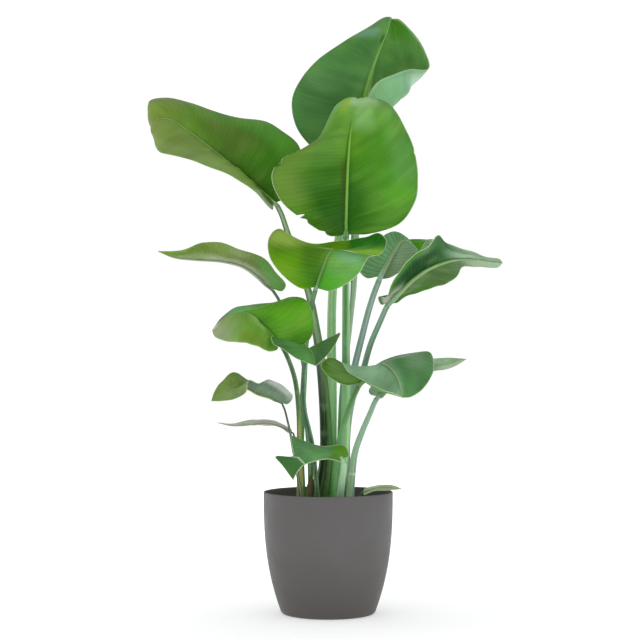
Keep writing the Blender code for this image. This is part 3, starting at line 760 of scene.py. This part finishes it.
    # The midrib runs half sunk along the blade's underside, from the top of the stalk.
    share = np.linspace(0, 1, RIB_RINGS)
    ups = unit(up_at(share, 0)[0] + up_at(share, 1)[0])
    ups[0], ups[-1] = ups[1], ups[-2]
    rib_radius = top * (0.82 * (1 - share) ** 0.9 + 0.02) + 0.0006
    rib_radius *= np.interp(share, [rib_end - 0.2, rib_end], [1.0, 0.25 if rib_end < 1 else 1.0])
    sunk = (rib_radius * np.interp(share, [0, 0.05, 1], [0.30, 1.0, 1.0])
            + np.interp(share, [0, 0.06], [0, 0.0004]))
    rib_line = rib_at(share) - ups * sunk[:, None]
    neck = base - neck_along * BLADE_NECK
    stem_look = stem_finish(name + "_stem", stem, rings=rings, climb=climb)
    rib_side = (np.array(stem[1]) + midrib_colour) / 2
    rib_look = stem_finish(name + "_rib", (stem[1], midrib_colour, rib_side, rib_side))
    midrib = tube_piece(
        name + "_midrib", np.vstack([neck, rib_line]), np.vstack([ups[:1], ups]),
        np.concatenate([[top], rib_radius]), np.full(RIB_RINGS + 1, RIB_GROOVE),
        np.interp(np.concatenate([[0.0], share]), [0.02, 0.16], STALK_CLIMB), RIB_SIDES)
    midrib.data.materials.append(rib_look)
    blade.select_set(True)
    bpy.context.view_layer.objects.active = blade
    bpy.ops.object.join()
    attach(blade, "root")
    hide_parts(name + "_blade")

    # The stalk's groove starts where the midrib's does, and keeps to the same side all the way down.
    where = np.linspace(0, start, STALK_RINGS)
    stalk_line = read_line(line, lengths, where)
    stalk_line[-1] = neck
    stalk_radii, share = stalk_radius(radii, where, start)
    tangents = unit(np.gradient(stalk_line, axis=0))
    stalk_ups = [ups[0]]
    for along in tangents[-2::-1]:
        stalk_ups.insert(0, unit(stalk_ups[0] - stalk_ups[0].dot(along) * along))
    stem_piece = tube_piece(name + "_stalk_piece", stalk_line, np.array(stalk_ups), stalk_radii,
                            np.interp(share, [0, 0.5, 1], STALK_GROOVES), stalk_line[:, 2],
                            STALK_SIDES)
    stem_piece.data.materials.append(stem_look)
    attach(stem_piece, "root")
    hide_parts(name + "_stalk")
    return radii, [*stalk, rib[0]]


grow_leaf(
    "leaf_01",
    radii=(13.5, 9.0),
    stalk=[(4, 38), (8, 40, 397), (9, 45, 521), (8, 50, 632), (11, 65, 750), (26, 90, 882),
           (38, 108, 968)],
    rib=[(53, 125, 1042), (73, 150, 1142), (93, 180, 1244), (119, 210, 1328), (148, 245, 1404),
         (159, 283, 1443), (162, 314, 1446)],
    left=[(15, 120, 1041), (-33, 110, 1088), (-77, 120, 1147), (-87, 130, 1211), (-65, 150, 1266),
          (-26, 170, 1315), (42, 200, 1368), (108, 245, 1416), (138, 280, 1441)],
    right=[(82, 115, 1065), (96, 110, 1124), (91, 110, 1179), (96, 110, 1220), (120, 110, 1252),
           (154, 115, 1269), (199, 140, 1287), (247, 180, 1298), (237, 215, 1351), (210, 245, 1399),
           (180, 281, 1438)],
    left_hump=(0, 10, 10, 10, 0), right_hump=(-30, -60, -90, -70, 0),
    upper=[(87, 147, 74), (122, 182, 96)], under=[(120, 168, 108), (145, 202, 156)],
    stem=[(170, 222, 150), (190, 234, 174), (196, 230, 178), (166, 230, 164)], veins=(112, 148, 96),
    wave=(1.2, 3.0), lean=(0.1, 0.2), rib_reach=0.76, rib_colour=(150, 200, 84),
    midrib_colour=(116, 170, 62),
    upper_patches=[
        ((81, 137, 73), 0.55, (0.8, 0.93), (-0.95, -0.55)),
        ((78, 152, 5), 0.75, (0.84, 1.1), (-0.1, 1.1)),
        # Painted highlight: a pale bluish sheen band on the left half below the tip.
        ((140, 180, 166), 0.5, (0.74, 0.81), (-0.85, -0.25)),
        ((24, 66, 16), 0.6, (0.72, 0.78), (-0.1, 0.02)),
        ((40, 104, 30), 0.34, (0.58, 0.78), (-0.72, -0.05)),
    ],
    under_patches=[
        ((112, 176, 92), 0.35, (0.28, 0.44), (0.62, 1.1)),
        ((214, 234, 216), 0.5, (0.5, 0.62), (0.5, 0.9)),
    ],
)


# Leaf 2
# It is the widest, turned flat to the front, with its tip folded back. Its left edge is torn
# and ragged where it was rolled out, and a brown nick marks its right edge.
grow_leaf(
    "leaf_02",
    radii=(12.0, 8.0),
    stalk=[(23, -8), (37, -15, 377), (41, -20, 493), (41, -20, 631), (41, -20, 740), (41, -20, 812)],
    rib=[(41, -20, 867), (43, -32, 955), (46, -30, 1036), (53, -8, 1120), (66, 30, 1189),
         (73, 60, 1203), (79, 90, 1176)],
    left=[(13, -25, 869), (-58, -35, 908), (-111, -50, 953), (-130, -70, 1006), (-111, -60, 1043),
          (-65, -45, 1069), (-24, -20, 1100), (19, 30, 1182), (50, 55, 1204)],
    right=[(96, -35, 876), (165, -55, 899), (200, -75, 950), (205, -75, 1001), (199, -60, 1062),
           (185, -30, 1108), (157, 20, 1171), (137, 45, 1193), (107, 70, 1204)],
    left_hump=(0, 10, 10, 10, 0), right_hump=(0, 10, 10, 10, 0),
    upper=[(65, 125, 10), (88, 165, 32), (134, 194, 90)], under=[(120, 150, 96)],
    stem=[(156, 218, 152), (74, 142, 78), (142, 192, 142), (192, 244, 180)], veins=(138, 184, 84),
    wave=(1.6, 4.0), pleat=0.0018, lean=(0.02, 0.34),
    nicks=[(0.035, -1, 5, 0.012), (0.085, -1, 6, 0.014), (0.17, -1, 8, 0.016), (0.46, -1, 7, 0.02),
           (0.53, -1, 6, 0.016), (0.53, 1, 2, 0.014)],
    slits=[(0.2, -1, 0.86, 0.006), (0.44, -1, 0.9, 0.008)],
    climb=(0.42, 0.7), margin=0.9, rib_reach=0.72, rib_colour=(134, 196, 78),
    upper_patches=[
        # Painted highlights: a whitish band across the top and a light streak running down from it.
        ((206, 236, 196), 0.42, (0.79, 0.9), (-0.3, 0.6)),
        ((160, 208, 140), 0.4, (0.62, 0.84), (0.04, 0.4)),
        ((172, 196, 34), 0.5, (0.74, 0.84), (-0.56, -0.26)),
        ((30, 96, 0), 0.8, (0.0, 0.3), (-0.6, 0.38)),
        ((34, 98, 0), 0.55, (0.0, 0.18), (0.3, 0.72)),
        ((36, 100, 2), 0.4, (0.24, 0.42), (-0.8, 0.36)),
        ((140, 196, 96), 0.25, (0.42, 0.62), (-0.7, -0.1)),
        ((70, 136, 10), 0.45, (0.6, 0.76), (-0.75, -0.3)),
        ((50, 116, 16), 0.4, (0.4, 0.62), (0.1, 0.62)),
        # Painted shade: a thin dark line and a broader dark stripe on the left of the midrib.
        ((34, 84, 8), 0.5, (0.36, 0.68), (-0.05, -0.012)),
        ((70, 84, 14), 0.7, (0.0, 0.42), (-0.1, -0.025)),
        ((122, 154, 66), 0.5, (0.25, 0.6), (-1.1, -0.62)),
        ((128, 190, 112), 0.28, (0.38, 0.6), (0.62, 1.0)),
    ],
)


# Leaf 3
# It leans far out to the left on the thickest stalk. It is seen on its upper side along its
# whole length, with the tip rolled under.
grow_leaf(
    "leaf_03",
    radii=(18.0, 6.0),
    stalk=[(-19, 5), (-5, 5, 352), (-6, 5, 445), (-15, 5, 562), (-26, 7, 643), (-47, 10, 748),
           (-68, 10, 799), (-95, 10, 884)],
    rib=[(-119, 10, 944), (-173, 15, 996), (-252, 30, 1064), (-328, 50, 1125), (-380, 75, 1158),
         (-417, 105, 1157), (-424, 130, 1139), (-399, 145, 1117)],
    left=[(-130, -20, 932), (-161, -70, 965), (-201, -100, 991), (-267, -90, 1023), (-329, -60, 1049),
          (-389, -10, 1066), (-411, 50, 1099), (-416, 100, 1120)],
    right=[(-94, 10, 965), (-61, 15, 1025), (-68, 30, 1087), (-109, 60, 1127), (-148, 90, 1155),
           (-211, 115, 1166), (-279, 130, 1185), (-333, 140, 1208), (-395, 150, 1221),
           (-436, 168, 1214), (-437, 180, 1180)],
    left_hump=(0, 10, 10, 10, 0), right_hump=(0, 15, 10, 10, 0),
    upper=[(113, 147, 56), (70, 137, 9), (130, 152, 56)], under=[(128, 150, 100)],
    stem=[(26, 54, 20), (184, 208, 172), (24, 50, 26), (92, 146, 72)], veins=(140, 164, 88),
    wave=(1.4, 3.0), climb=(0.44, 0.7),
    upper_patches=[
        # Painted highlight: a pale sheen along the left edge, the lower one.
        ((170, 194, 136), 0.2, (0.2, 0.92), (-1.1, -0.72)),
        ((96, 102, 44), 0.45, (0.3, 0.58), (0.12, 0.62)),
        ((190, 204, 190), 0.7, (-0.1, 0.18), (-1.1, -0.7)),
        ((92, 166, 54), 0.4, (0.08, 0.42), (0.68, 1.1)),
    ],
)


# Leaf 4
# It faces the front below leaf 2. Its upper part bends back over. Above the fold, painted light
# makes a bright strip and painted shade a darker hollow, with a painted highlight along the fold.
grow_leaf(
    "leaf_04",
    radii=(9.5, 5.5),
    stalk=[(-60, -25), (-64, -40, 378), (-59, -60, 482), (-55, -75, 551), (-51, -92, 619),
           (-39, -115, 703)],
    rib=[(-30, -130, 740), (-15, -145, 785), (6, -138, 831), (31, -108, 835), (54, -82, 840),
         (53, -62, 850), (48, -40, 861)],
    left=[(-59, -140, 745), (-97, -155, 769), (-131, -155, 813), (-135, -137, 857), (-112, -100, 884),
          (-83, -76, 867), (-40, -56, 853), (4, -45, 857)],
    right=[(3, -140, 740), (46, -150, 759), (72, -142, 784), (83, -136, 805), (93, -112, 818),
           (118, -78, 827), (132, -60, 843), (133, -50, 862), (117, -42, 877), (87, -38, 870)],
    left_hump=(0, 10, -12, -6, 0), right_hump=(0, 10, 0, 0, 0), upper=[(99, 158, 5), (106, 175, 83)],
    under=[(92, 140, 52), (112, 162, 60)],
    stem=[(88, 140, 92), (123, 144, 126), (99, 147, 78), (82, 168, 69)], veins=(158, 190, 62),
    margin=0.9, rib_reach=0.62, rib_colour=(124, 166, 92),
    upper_patches=[
        # Painted light and shade of the bend: the bright strip, the darker hollow beyond it, and a pale
        # painted highlight along the fold.
        ((138, 192, 50), 0.95, (0.56, 0.65), (-0.1, 1.1)),
        ((38, 122, 24), 0.95, (0.68, 1.1), (-0.1, 1.1)),
        ((20, 96, 6), 0.6, (0.66, 0.82), (0.6, 1.1)),
        ((220, 236, 190), 0.85, (0.53, 0.55), (-0.2, 1.1)),
        ((48, 104, 6), 0.75, (0.0, 0.46), (-0.46, -0.02)),
        ((60, 131, 5), 0.6, (0.02, 0.24), (-0.72, -0.25)),
        ((180, 204, 96), 0.6, (0.42, 0.62), (-1.05, -0.55)),
        ((80, 178, 22), 0.7, (0.04, 0.22), (0.12, 0.95)),
        # Painted highlight: a grey-green sheen on the right half.
        ((134, 190, 146), 0.5, (0.34, 0.46), (0.25, 0.9)),
    ],
)


# Leaf 5
# It turns away to the right, so the dull grey-green underside with its pale midrib shows.
grow_leaf(
    "leaf_05",
    radii=(10.5, 7.0),
    stalk=[(37, 35), (42, 38, 397), (49, 45, 491), (61, 50, 561), (78, 52, 632), (101, 50, 719)],
    rib=[(120, 45, 771), (139, 40, 808), (159, 30, 845), (175, 10, 865), (194, -15, 854),
         (212, -30, 834)],
    left=[(146, 40, 778), (187, 30, 805), (227, 30, 838), (249, 10, 863), (231, -15, 865)],
    right=[(90, 55, 778), (71, 60, 802), (90, 65, 845), (123, 60, 873), (150, 40, 887), (177, 0, 876)],
    left_hump=(0, 10, 10, 0, 0), right_hump=(0, 10, 10, 0, 0), upper=[(79, 164, 5)],
    under=[(185, 215, 176), (154, 214, 158)],
    stem=[(110, 164, 128), (180, 208, 202), (158, 174, 177), (129, 162, 148)], veins=(128, 156, 110),
    wave=(1.2, 4.0), ribbed=0.28, margin=0.8, rib_end=0.72, rib_reach=0.8,
    midrib_colour=(176, 200, 142),
)


# Leaf 6
# It reaches furthest right, its edge rolled towards the front, with two small ears where the
# blade joins the stalk. The underside is grey-green, and darker above the midrib.
grow_leaf(
    "leaf_06",
    radii=(10.0, 6.5),
    stalk=[(47, 10), (43, 12, 399), (56, 8, 492), (80, 5, 557), (98, 0, 620), (121, -10, 675)],
    rib=[(138, -20, 712), (165, -40, 746), (199, -60, 777), (236, -80, 799), (287, -100, 814),
         (337, -120, 813), (391, -140, 803)],
    left=[(159, -15, 717), (176, -10, 729), (224, -15, 747), (270, -30, 760), (298, -50, 780),
          (307, -80, 797), (344, -100, 796), (380, -120, 793)],
    right=[(122, -30, 712), (115, -40, 730), (134, -60, 729), (140, -80, 754), (167, -105, 793),
           (193, -125, 824), (224, -135, 841), (246, -140, 865), (263, -150, 849), (300, -160, 835),
           (353, -160, 815), (383, -150, 812)],
    upper=[(44, 104, 50), (40, 96, 46)], under=[(85, 122, 61), (52, 115, 50), (141, 171, 141)],
    stem=[(216, 240, 218), (136, 172, 152), (158, 192, 176), (138, 170, 148)], veins=(120, 158, 112),
    wave=(1.6, 4.0), ribbed=0.025, margin=0.9, midrib_colour=(152, 186, 116),
    under_patches=[
        ((5, 62, 5), 0.9, (0.24, 0.46), (0.02, 0.74)),
        ((5, 62, 5), 0.7, (0.44, 0.56), (0.34, 0.74)),
        ((196, 220, 194), 0.5, (0.62, 0.82), (0.02, 0.42)),
        ((74, 135, 44), 0.95, (0.1, 0.5), (0.84, 1.1)),
        ((231, 234, 214), 0.6, (0.0, 0.18), (0.0, 0.8)),
        ((64, 115, 22), 0.9, (0.06, 0.34), (-1.1, -0.66)),
        ((190, 208, 180), 0.55, (0.7, 1.1), (-1.1, -0.1)),
    ],
)


# Leaf 7
# It arches out to the left. Its near half shows the olive underside, its far half hangs green.
leaf_07_stalk = grow_leaf(
    "leaf_07",
    radii=(8.0, 4.0),
    stalk=[(-40, 32), (-41, 35, 339), (-48, 38, 420), (-56, 40, 485), (-58, 40, 575), (-87, 35, 655),
           (-110, 30, 716)],
    rib=[(-129, 30, 747), (-155, 25, 774), (-197, 15, 804), (-247, 0, 816), (-308, -20, 818),
         (-354, -30, 822), (-392, -40, 836)],
    left=[(-108, 20, 746), (-98, 10, 760), (-121, -10, 789), (-153, -30, 823), (-196, -45, 838),
          (-251, -55, 855), (-294, -60, 853), (-340, -55, 837)],
    right=[(-111, 45, 754), (-109, 60, 771), (-138, 75, 798), (-185, 75, 829), (-244, 65, 845),
           (-301, 40, 843), (-350, 0, 837)],
    upper=[(92, 146, 80)], under=[(121, 141, 70), (113, 141, 76), (128, 166, 49)],
    stem=[(140, 190, 150), (104, 118, 104), (32, 110, 36), (70, 108, 62)], veins=(140, 164, 110),
    wave=(1.2, 3.0), midrib_colour=(190, 200, 176),
    under_patches=[
        ((92, 150, 66), 0.95, (0.0, 0.34), (-1.1, -0.6)),
        ((104, 158, 80), 0.9, (0.0, 0.24), (-0.7, -0.3)),
        ((206, 216, 190), 0.42, (0.0, 0.6), (-0.26, 0.26)),
        ((206, 212, 180), 0.28, (0.56, 0.86), (-0.34, 0.34)),
    ],
)


# Leaf 8
# It is cupped and bright, low on the left, with its tip curled under.
leaf_08_stalk = grow_leaf(
    "leaf_08",
    radii=(8.0, 5.0),
    stalk=[(-65, -50), (-65, -70, 380), (-67, -100, 472), (-75, -130, 541), (-90, -155, 588)],
    rib=[(-103, -170, 614), (-126, -170, 643), (-157, -175, 672), (-176, -185, 690),
         (-204, -205, 691), (-233, -230, 675), (-254, -245, 651)],
    left=[(-114, -185, 608), (-133, -205, 605), (-156, -235, 615), (-180, -255, 623),
          (-216, -270, 625), (-246, -265, 636)],
    right=[(-77, -165, 612), (-46, -155, 626), (-32, -140, 662), (-48, -140, 718), (-82, -120, 728),
           (-121, -105, 717), (-175, -115, 711), (-211, -145, 701), (-238, -185, 679)],
    left_hump=(0, 15, 20, 10, 0), right_hump=(0, 10, 0, -10, 0),
    upper=[(106, 165, 50), (97, 175, 30), (166, 177, 139)], under=[(112, 140, 84)],
    stem=[(104, 148, 88), (55, 80, 70), (67, 106, 55), (105, 152, 75)], veins=(146, 176, 84),
    rib_colour=(140, 196, 96),
    upper_patches=[
        ((104, 204, 128), 0.9, (0.64, 0.82), (0.1, 0.9)),
        ((236, 238, 214), 0.8, (0.88, 1.1), (-0.5, 0.0)),
        ((104, 90, 56), 0.6, (0.84, 0.98), (0.2, 1.1)),
        ((107, 131, 40), 0.6, (0.3, 0.62), (-1.1, -0.75)),
        ((170, 206, 120), 0.6, (0.3, 0.5), (-0.5, -0.12)),
    ],
)


# Leaf 9
# It is a small dark one in front of the stalks, hanging towards the viewer from its midrib.
grow_leaf(
    "leaf_09",
    radii=(6.0, 4.0),
    stalk=[(-24, -62), (-36, -70, 389), (-54, -80, 474), (-55, -102, 529), (-52, -132, 572)],
    rib=[(-46, -175, 599), (-45, -200, 612), (-41, -230, 612), (-34, -260, 597), (-28, -280, 573)],
    left=[(-23, -175, 608), (8, -180, 630), (25, -195, 647), (18, -220, 625), (1, -250, 601),
          (-15, -270, 584)],
    right=[(-63, -180, 603), (-96, -190, 619), (-125, -205, 638), (-122, -225, 623), (-99, -245, 608),
           (-67, -265, 588)],
    upper=[(68, 116, 60), (91, 156, 76)], under=[(96, 130, 90)],
    stem=[(12, 30, 8), (80, 122, 98), (62, 106, 74), (120, 166, 124)], veins=(112, 150, 100),
    margin=0.9, rib_colour=(120, 168, 104),
)


# Leaf 10
# It spreads low on the right. Its near edge folds under along a pale line, and the strip
# below the fold is darker and yellower.
grow_leaf(
    "leaf_10",
    radii=(9.0, 6.0),
    stalk=[(12, -42), (23, -45, 385), (46, -45, 469)],
    rib=[(70, -45, 525), (95, -60, 562), (119, -90, 578), (138, -125, 570), (155, -150, 545),
         (165, -172, 502)],
    left=[(132, 0, 563), (179, 0, 590), (235, -20, 603), (242, -60, 571), (232, -100, 545),
          (209, -140, 518), (184, -160, 503)],
    right=[(41, -55, 528), (4, -55, 544), (-17, -55, 574), (-1, -60, 591), (27, -80, 581),
           (44, -105, 560), (79, -145, 539), (121, -175, 520), (149, -180, 510)],
    left_hump=(0, 8, 5, 0, 0), right_hump=(0, -8, -18, -45, 0),
    upper=[(92, 152, 86), (177, 220, 180)], under=[(82, 133, 20)],
    stem=[(80, 190, 101), (84, 107, 64), (118, 168, 92), (129, 160, 118)], veins=(126, 160, 116),
    wave=(1.6, 4.0), ribbed=0.06, margin=0.95, rib_colour=(184, 220, 168),
    upper_patches=[
        ((70, 136, 74), 0.3, (0.3, 0.8), (-0.4, -0.1)),
        ((150, 186, 150), 0.35, (0.36, 0.62), (-0.8, -0.36)),
        ((150, 200, 160), 0.45, (0.1, 0.5), (0.3, 0.8)),
    ],
)


# Leaf 11
# It lies behind leaf 10 and points away to the right, on a pale stalk with a ring scar.
grow_leaf(
    "leaf_11",
    radii=(10.0, 6.0),
    stalk=[(49, -24), (55, -18, 321), (62, -10, 370), (76, -3, 411), (96, 7, 457)],
    rib=[(112, 15, 492), (133, 30, 517), (170, 55, 545), (231, 90, 566), (293, 120, 577),
         (335, 140, 587)],
    left=[(98, 20, 505), (96, 30, 517), (134, 60, 542), (183, 90, 570), (244, 115, 587),
          (291, 130, 590)],
    right=[(125, 5, 496), (139, 0, 511), (180, 20, 533), (241, 60, 556), (291, 100, 565),
           (320, 130, 577)],
    upper=[(182, 217, 191), (182, 217, 191), (187, 223, 177)], under=[(126, 150, 104)],
    stem=[(196, 232, 190), (188, 214, 200), (186, 212, 192), (156, 198, 180)], veins=(150, 174, 124),
    rings=(0.321,),
    upper_patches=[
        ((214, 232, 200), 0.5, (0.66, 1.1), (0.1, 1.1)),
    ],
)


# Leaf 12
# It is a small twisted one on the left: olive at the tip, with a dull blue-green underside.
grow_leaf(
    "leaf_12",
    radii=(5.0, 2.5),
    stalk=[(-58, -85), (-71, -90, 336), (-80, -95, 386), (-91, -100, 443)],
    rib=[(-105, -105, 486), (-127, -110, 500), (-159, -120, 510), (-185, -130, 523),
         (-220, -145, 521), (-262, -150, 494)],
    left=[(-93, -110, 486), (-80, -120, 502), (-91, -135, 518), (-117, -145, 537), (-134, -148, 543),
          (-155, -152, 534), (-177, -155, 540), (-184, -165, 514), (-205, -170, 501),
          (-237, -165, 494)],
    right=[(-110, -95, 495), (-112, -90, 510), (-137, -90, 524), (-166, -90, 533), (-194, -90, 547),
           (-216, -100, 558), (-240, -120, 538), (-256, -140, 514)],
    upper=[(145, 173, 105), (137, 164, 86)], under=[(104, 128, 108)],
    stem=[(104, 128, 84), (60, 70, 64), (44, 52, 48), (60, 74, 68)], veins=(128, 150, 112),
    wave=(1.4, 3.0), margin=0.6,
    under_patches=[
        ((214, 220, 216), 0.55, (0.14, 0.42), (-1.1, -0.74)),
    ],
)


# Leaf 13
# It is a thin grey-green one that has stayed nearly closed, low on the left.
grow_leaf(
    "leaf_13",
    radii=(4.0, 2.0),
    stalk=[(-59, 5), (-65, -5, 342), (-72, -12, 386)],
    rib=[(-81, -20, 414), (-104, -30, 431), (-134, -40, 440), (-179, -55, 439), (-218, -65, 436),
         (-251, -75, 443)],
    left=[(-84, -30, 424), (-102, -45, 437), (-131, -60, 448), (-178, -75, 449), (-219, -78, 441)],
    right=[(-91, -10, 416), (-116, -5, 430), (-146, -10, 434), (-185, -30, 434), (-221, -50, 434)],
    upper=[(124, 134, 102)], under=[(196, 179, 195)],
    stem=[(88, 102, 92), (84, 94, 88), (76, 88, 84), (112, 122, 112)], veins=(150, 156, 130),
)


# Leaf 14
# It is a small low one in front of the stalks, folded along its midrib.
grow_leaf(
    "leaf_14",
    radii=(10.0, 7.0),
    stalk=[(25, -68), (30, -84, 304)],
    rib=[(34, -95, 353), (23, -100, 371), (-8, -120, 376), (-46, -140, 380), (-72, -155, 363),
         (-79, -160, 318)],
    left=[(28, -105, 355), (3, -130, 363), (-28, -150, 360), (-57, -165, 350), (-72, -165, 332)],
    right=[(47, -85, 367), (38, -80, 390), (-12, -100, 391), (-53, -115, 403), (-84, -130, 415),
           (-82, -140, 393), (-79, -148, 372), (-119, -155, 371), (-104, -160, 352)],
    upper=[(118, 180, 111), (107, 161, 101)], under=[(88, 128, 50), (84, 128, 46)],
    stem=[(170, 218, 170), (176, 222, 178), (188, 230, 196), (190, 226, 194)], veins=(112, 158, 104),
    margin=0.95, rib_reach=0.0, midrib_colour=(110, 158, 84),
    upper_patches=[
        ((92, 146, 24), 0.9, (-0.1, 0.2), (-1.1, 1.1)),
        ((92, 142, 30), 0.85, (-0.1, 0.28), (-1.2, -0.45)),
        # Painted shade: the tail beyond the fold is darker.
        ((60, 112, 48), 0.75, (0.72, 1.1), (-1.1, 1.1)),
        ((216, 232, 196), 0.85, (0.685, 0.705), (-1.1, 1.1)),
    ],
)


# Leaf 15
# It is the smallest, lying over the planter's right rim.
grow_leaf(
    "leaf_15",
    radii=(4.0, 2.5),
    stalk=[(68, -31)],
    rib=[(75, -35, 277), (96, -45, 289), (125, -60, 296), (168, -75, 292)],
    left=[(83, -20, 287), (92, -25, 292), (128, -40, 299), (152, -60, 298)],
    right=[(82, -50, 276), (104, -65, 286), (136, -75, 289)],
    upper=[(219, 226, 179), (207, 220, 172)], under=[(112, 136, 98)],
    stem=[(96, 120, 88), (92, 116, 84), (80, 104, 78), (120, 142, 108)], veins=(132, 154, 116),
    wave=(0.6, 3.0),
)


# The rolled young leaf
# The youngest leaf is still a tight light green roll on its own stalk, hidden from the front by
# leaf 2. The stalk swells into the roll above its middle and ends in a point.
ROLLED_LEAF_LINE = [(21, 70), (28, 85, 395), (34, 90, 513), (46, 90, 611), (60, 85, 744),
                    (64, 70, 874), (66, 55, 986), (66, 45, 1104)]
ROLLED_LEAF_RADII = [0.007275, 0.00582, 0.010185, 0.008148, 0.001455]
ROLLED_LEAF_RINGS = 150
ROLLED_LEAF_SIDES = 24
roll_line, roll_lengths = smooth_line(rooted(ROLLED_LEAF_LINE))
share = np.linspace(0, 1, ROLLED_LEAF_RINGS)
roll_points = read_line(roll_line, roll_lengths, share * roll_lengths[-1])
rolled_leaf = tube_piece(
    "rolled_leaf", roll_points, np.tile((0.6, -0.8, 0.0), (ROLLED_LEAF_RINGS, 1)),
    np.interp(share, [0, 0.55, 0.72, 0.85, 1], ROLLED_LEAF_RADII),
    np.interp(share, [0, 0.5, 0.58, 1], [0.3, 0.3, 0.10, 0.10]), roll_points[:, 2],
    ROLLED_LEAF_SIDES)
# Its left side is painted darker and its right side lighter, as shade and light.
rolled_leaf.data.materials.append(stem_finish(
    "rolled_leaf_green", [(110, 160, 104), (190, 214, 182), (92, 134, 92), (186, 214, 184)],
    gloss=0.36, climb=(0.42, 0.66)))
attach(rolled_leaf, "root")
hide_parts("spear_leaf")


# The dried sheaths
# Two old leaf sheaths have dried to thin papery strips that still hug the stalks that they once
# wrapped: a long narrow yellow-brown one, and a short dark brown one at the foot of leaf 7.
SHEATH_CLEAR = 0.0015
SHEATH_CURL = 0.0022
SHEATH_THICKNESS = 0.0004
SHEATH_COLUMNS = 28
SHEATH_ROWS = 80


def dry_paper(name, low, high, stained):
    """Dried leaf sheath: long fibres, darker stains, and a greener upper end."""
    made = Finish(name, Specular_IOR_Level=0.3)
    turn, height, climb = made.mark("stem")
    fibre = made.noise(made.spot(turn * 14.0, height * 6.0, 1.0), 1.0, 4.0)
    stain = made.noise(made.place(), 34.0, 4.0)
    tone = made.mix(made.fade(fibre, 0.34, 0.68), paint(*low), paint(*high))
    tone = made.mix(made.fade(stain, 0.50, 0.72) * 0.6, tone, paint(*stained))
    tone = made.mix(made.fade(climb, 0.72, 1.0) * 0.6, tone, paint(120, 160, 84))
    return made.wear(Base_Color=tone, Roughness=0.70 + 0.15 * made.fade(stain, 0.3, 0.7),
                     Normal=made.bump(fibre, 0.0008, 0.7))


def dried_sheath(name, radii, stalk, height, half_angle, seed, finish):
    """A strip of old sheath round the front of a stalk, ragged and curled at its two edges."""
    line, lengths = smooth_line(rooted(stalk))
    draw = random.Random(seed)
    phases = [draw.random() * math.tau for _ in range(3)]

    def place(u, v):
        where = v * height
        centre = read_line(line, lengths, where)
        along = unit(read_line(line, lengths, where + 0.003)
                     - read_line(line, lengths, np.maximum(where - 0.003, 0)))
        front = unit(np.cross(np.cross(along, (0.0, -1.0, 0.0)), along))
        side = np.cross(along, front)
        ragged = 1 + 0.07 * np.sin(31 * v + phases[0]) + 0.05 * np.sin(67 * v + phases[1])
        turn = math.radians(half_angle) * (1 - v**3) * ragged * (2 * u - 1)
        curl = SHEATH_CURL * (2 * u - 1) ** 4 * (0.4 + 0.6 * np.sin(19 * v + phases[2]) ** 2)
        radius = stalk_radius(radii, where, lengths[-1])[0] + SHEATH_CLEAR + curl
        out = np.cos(turn)[:, None] * front + np.sin(turn)[:, None] * side
        return centre + radius[:, None] * out, {"stem": [u, centre[:, 2], v]}

    item = grid_piece(name + "_piece", SHEATH_COLUMNS, SHEATH_ROWS, place)
    weld()
    bpy.ops.object.shade_smooth()
    item.data.materials.append(finish)
    thicken(item, SHEATH_THICKNESS, offset=0.0)
    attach(item, "root")
    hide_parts(name)


dried_sheath("dried_sheath_1", *leaf_08_stalk, height=0.270, half_angle=42, seed=21,
             finish=dry_paper("yellow_sheath", (142, 144, 66), (214, 212, 146), (122, 94, 42)))
dried_sheath("dried_sheath_2", *leaf_07_stalk, height=0.105, half_angle=100, seed=22,
             finish=dry_paper("brown_sheath", (122, 106, 72), (164, 148, 108), (84, 70, 48)))
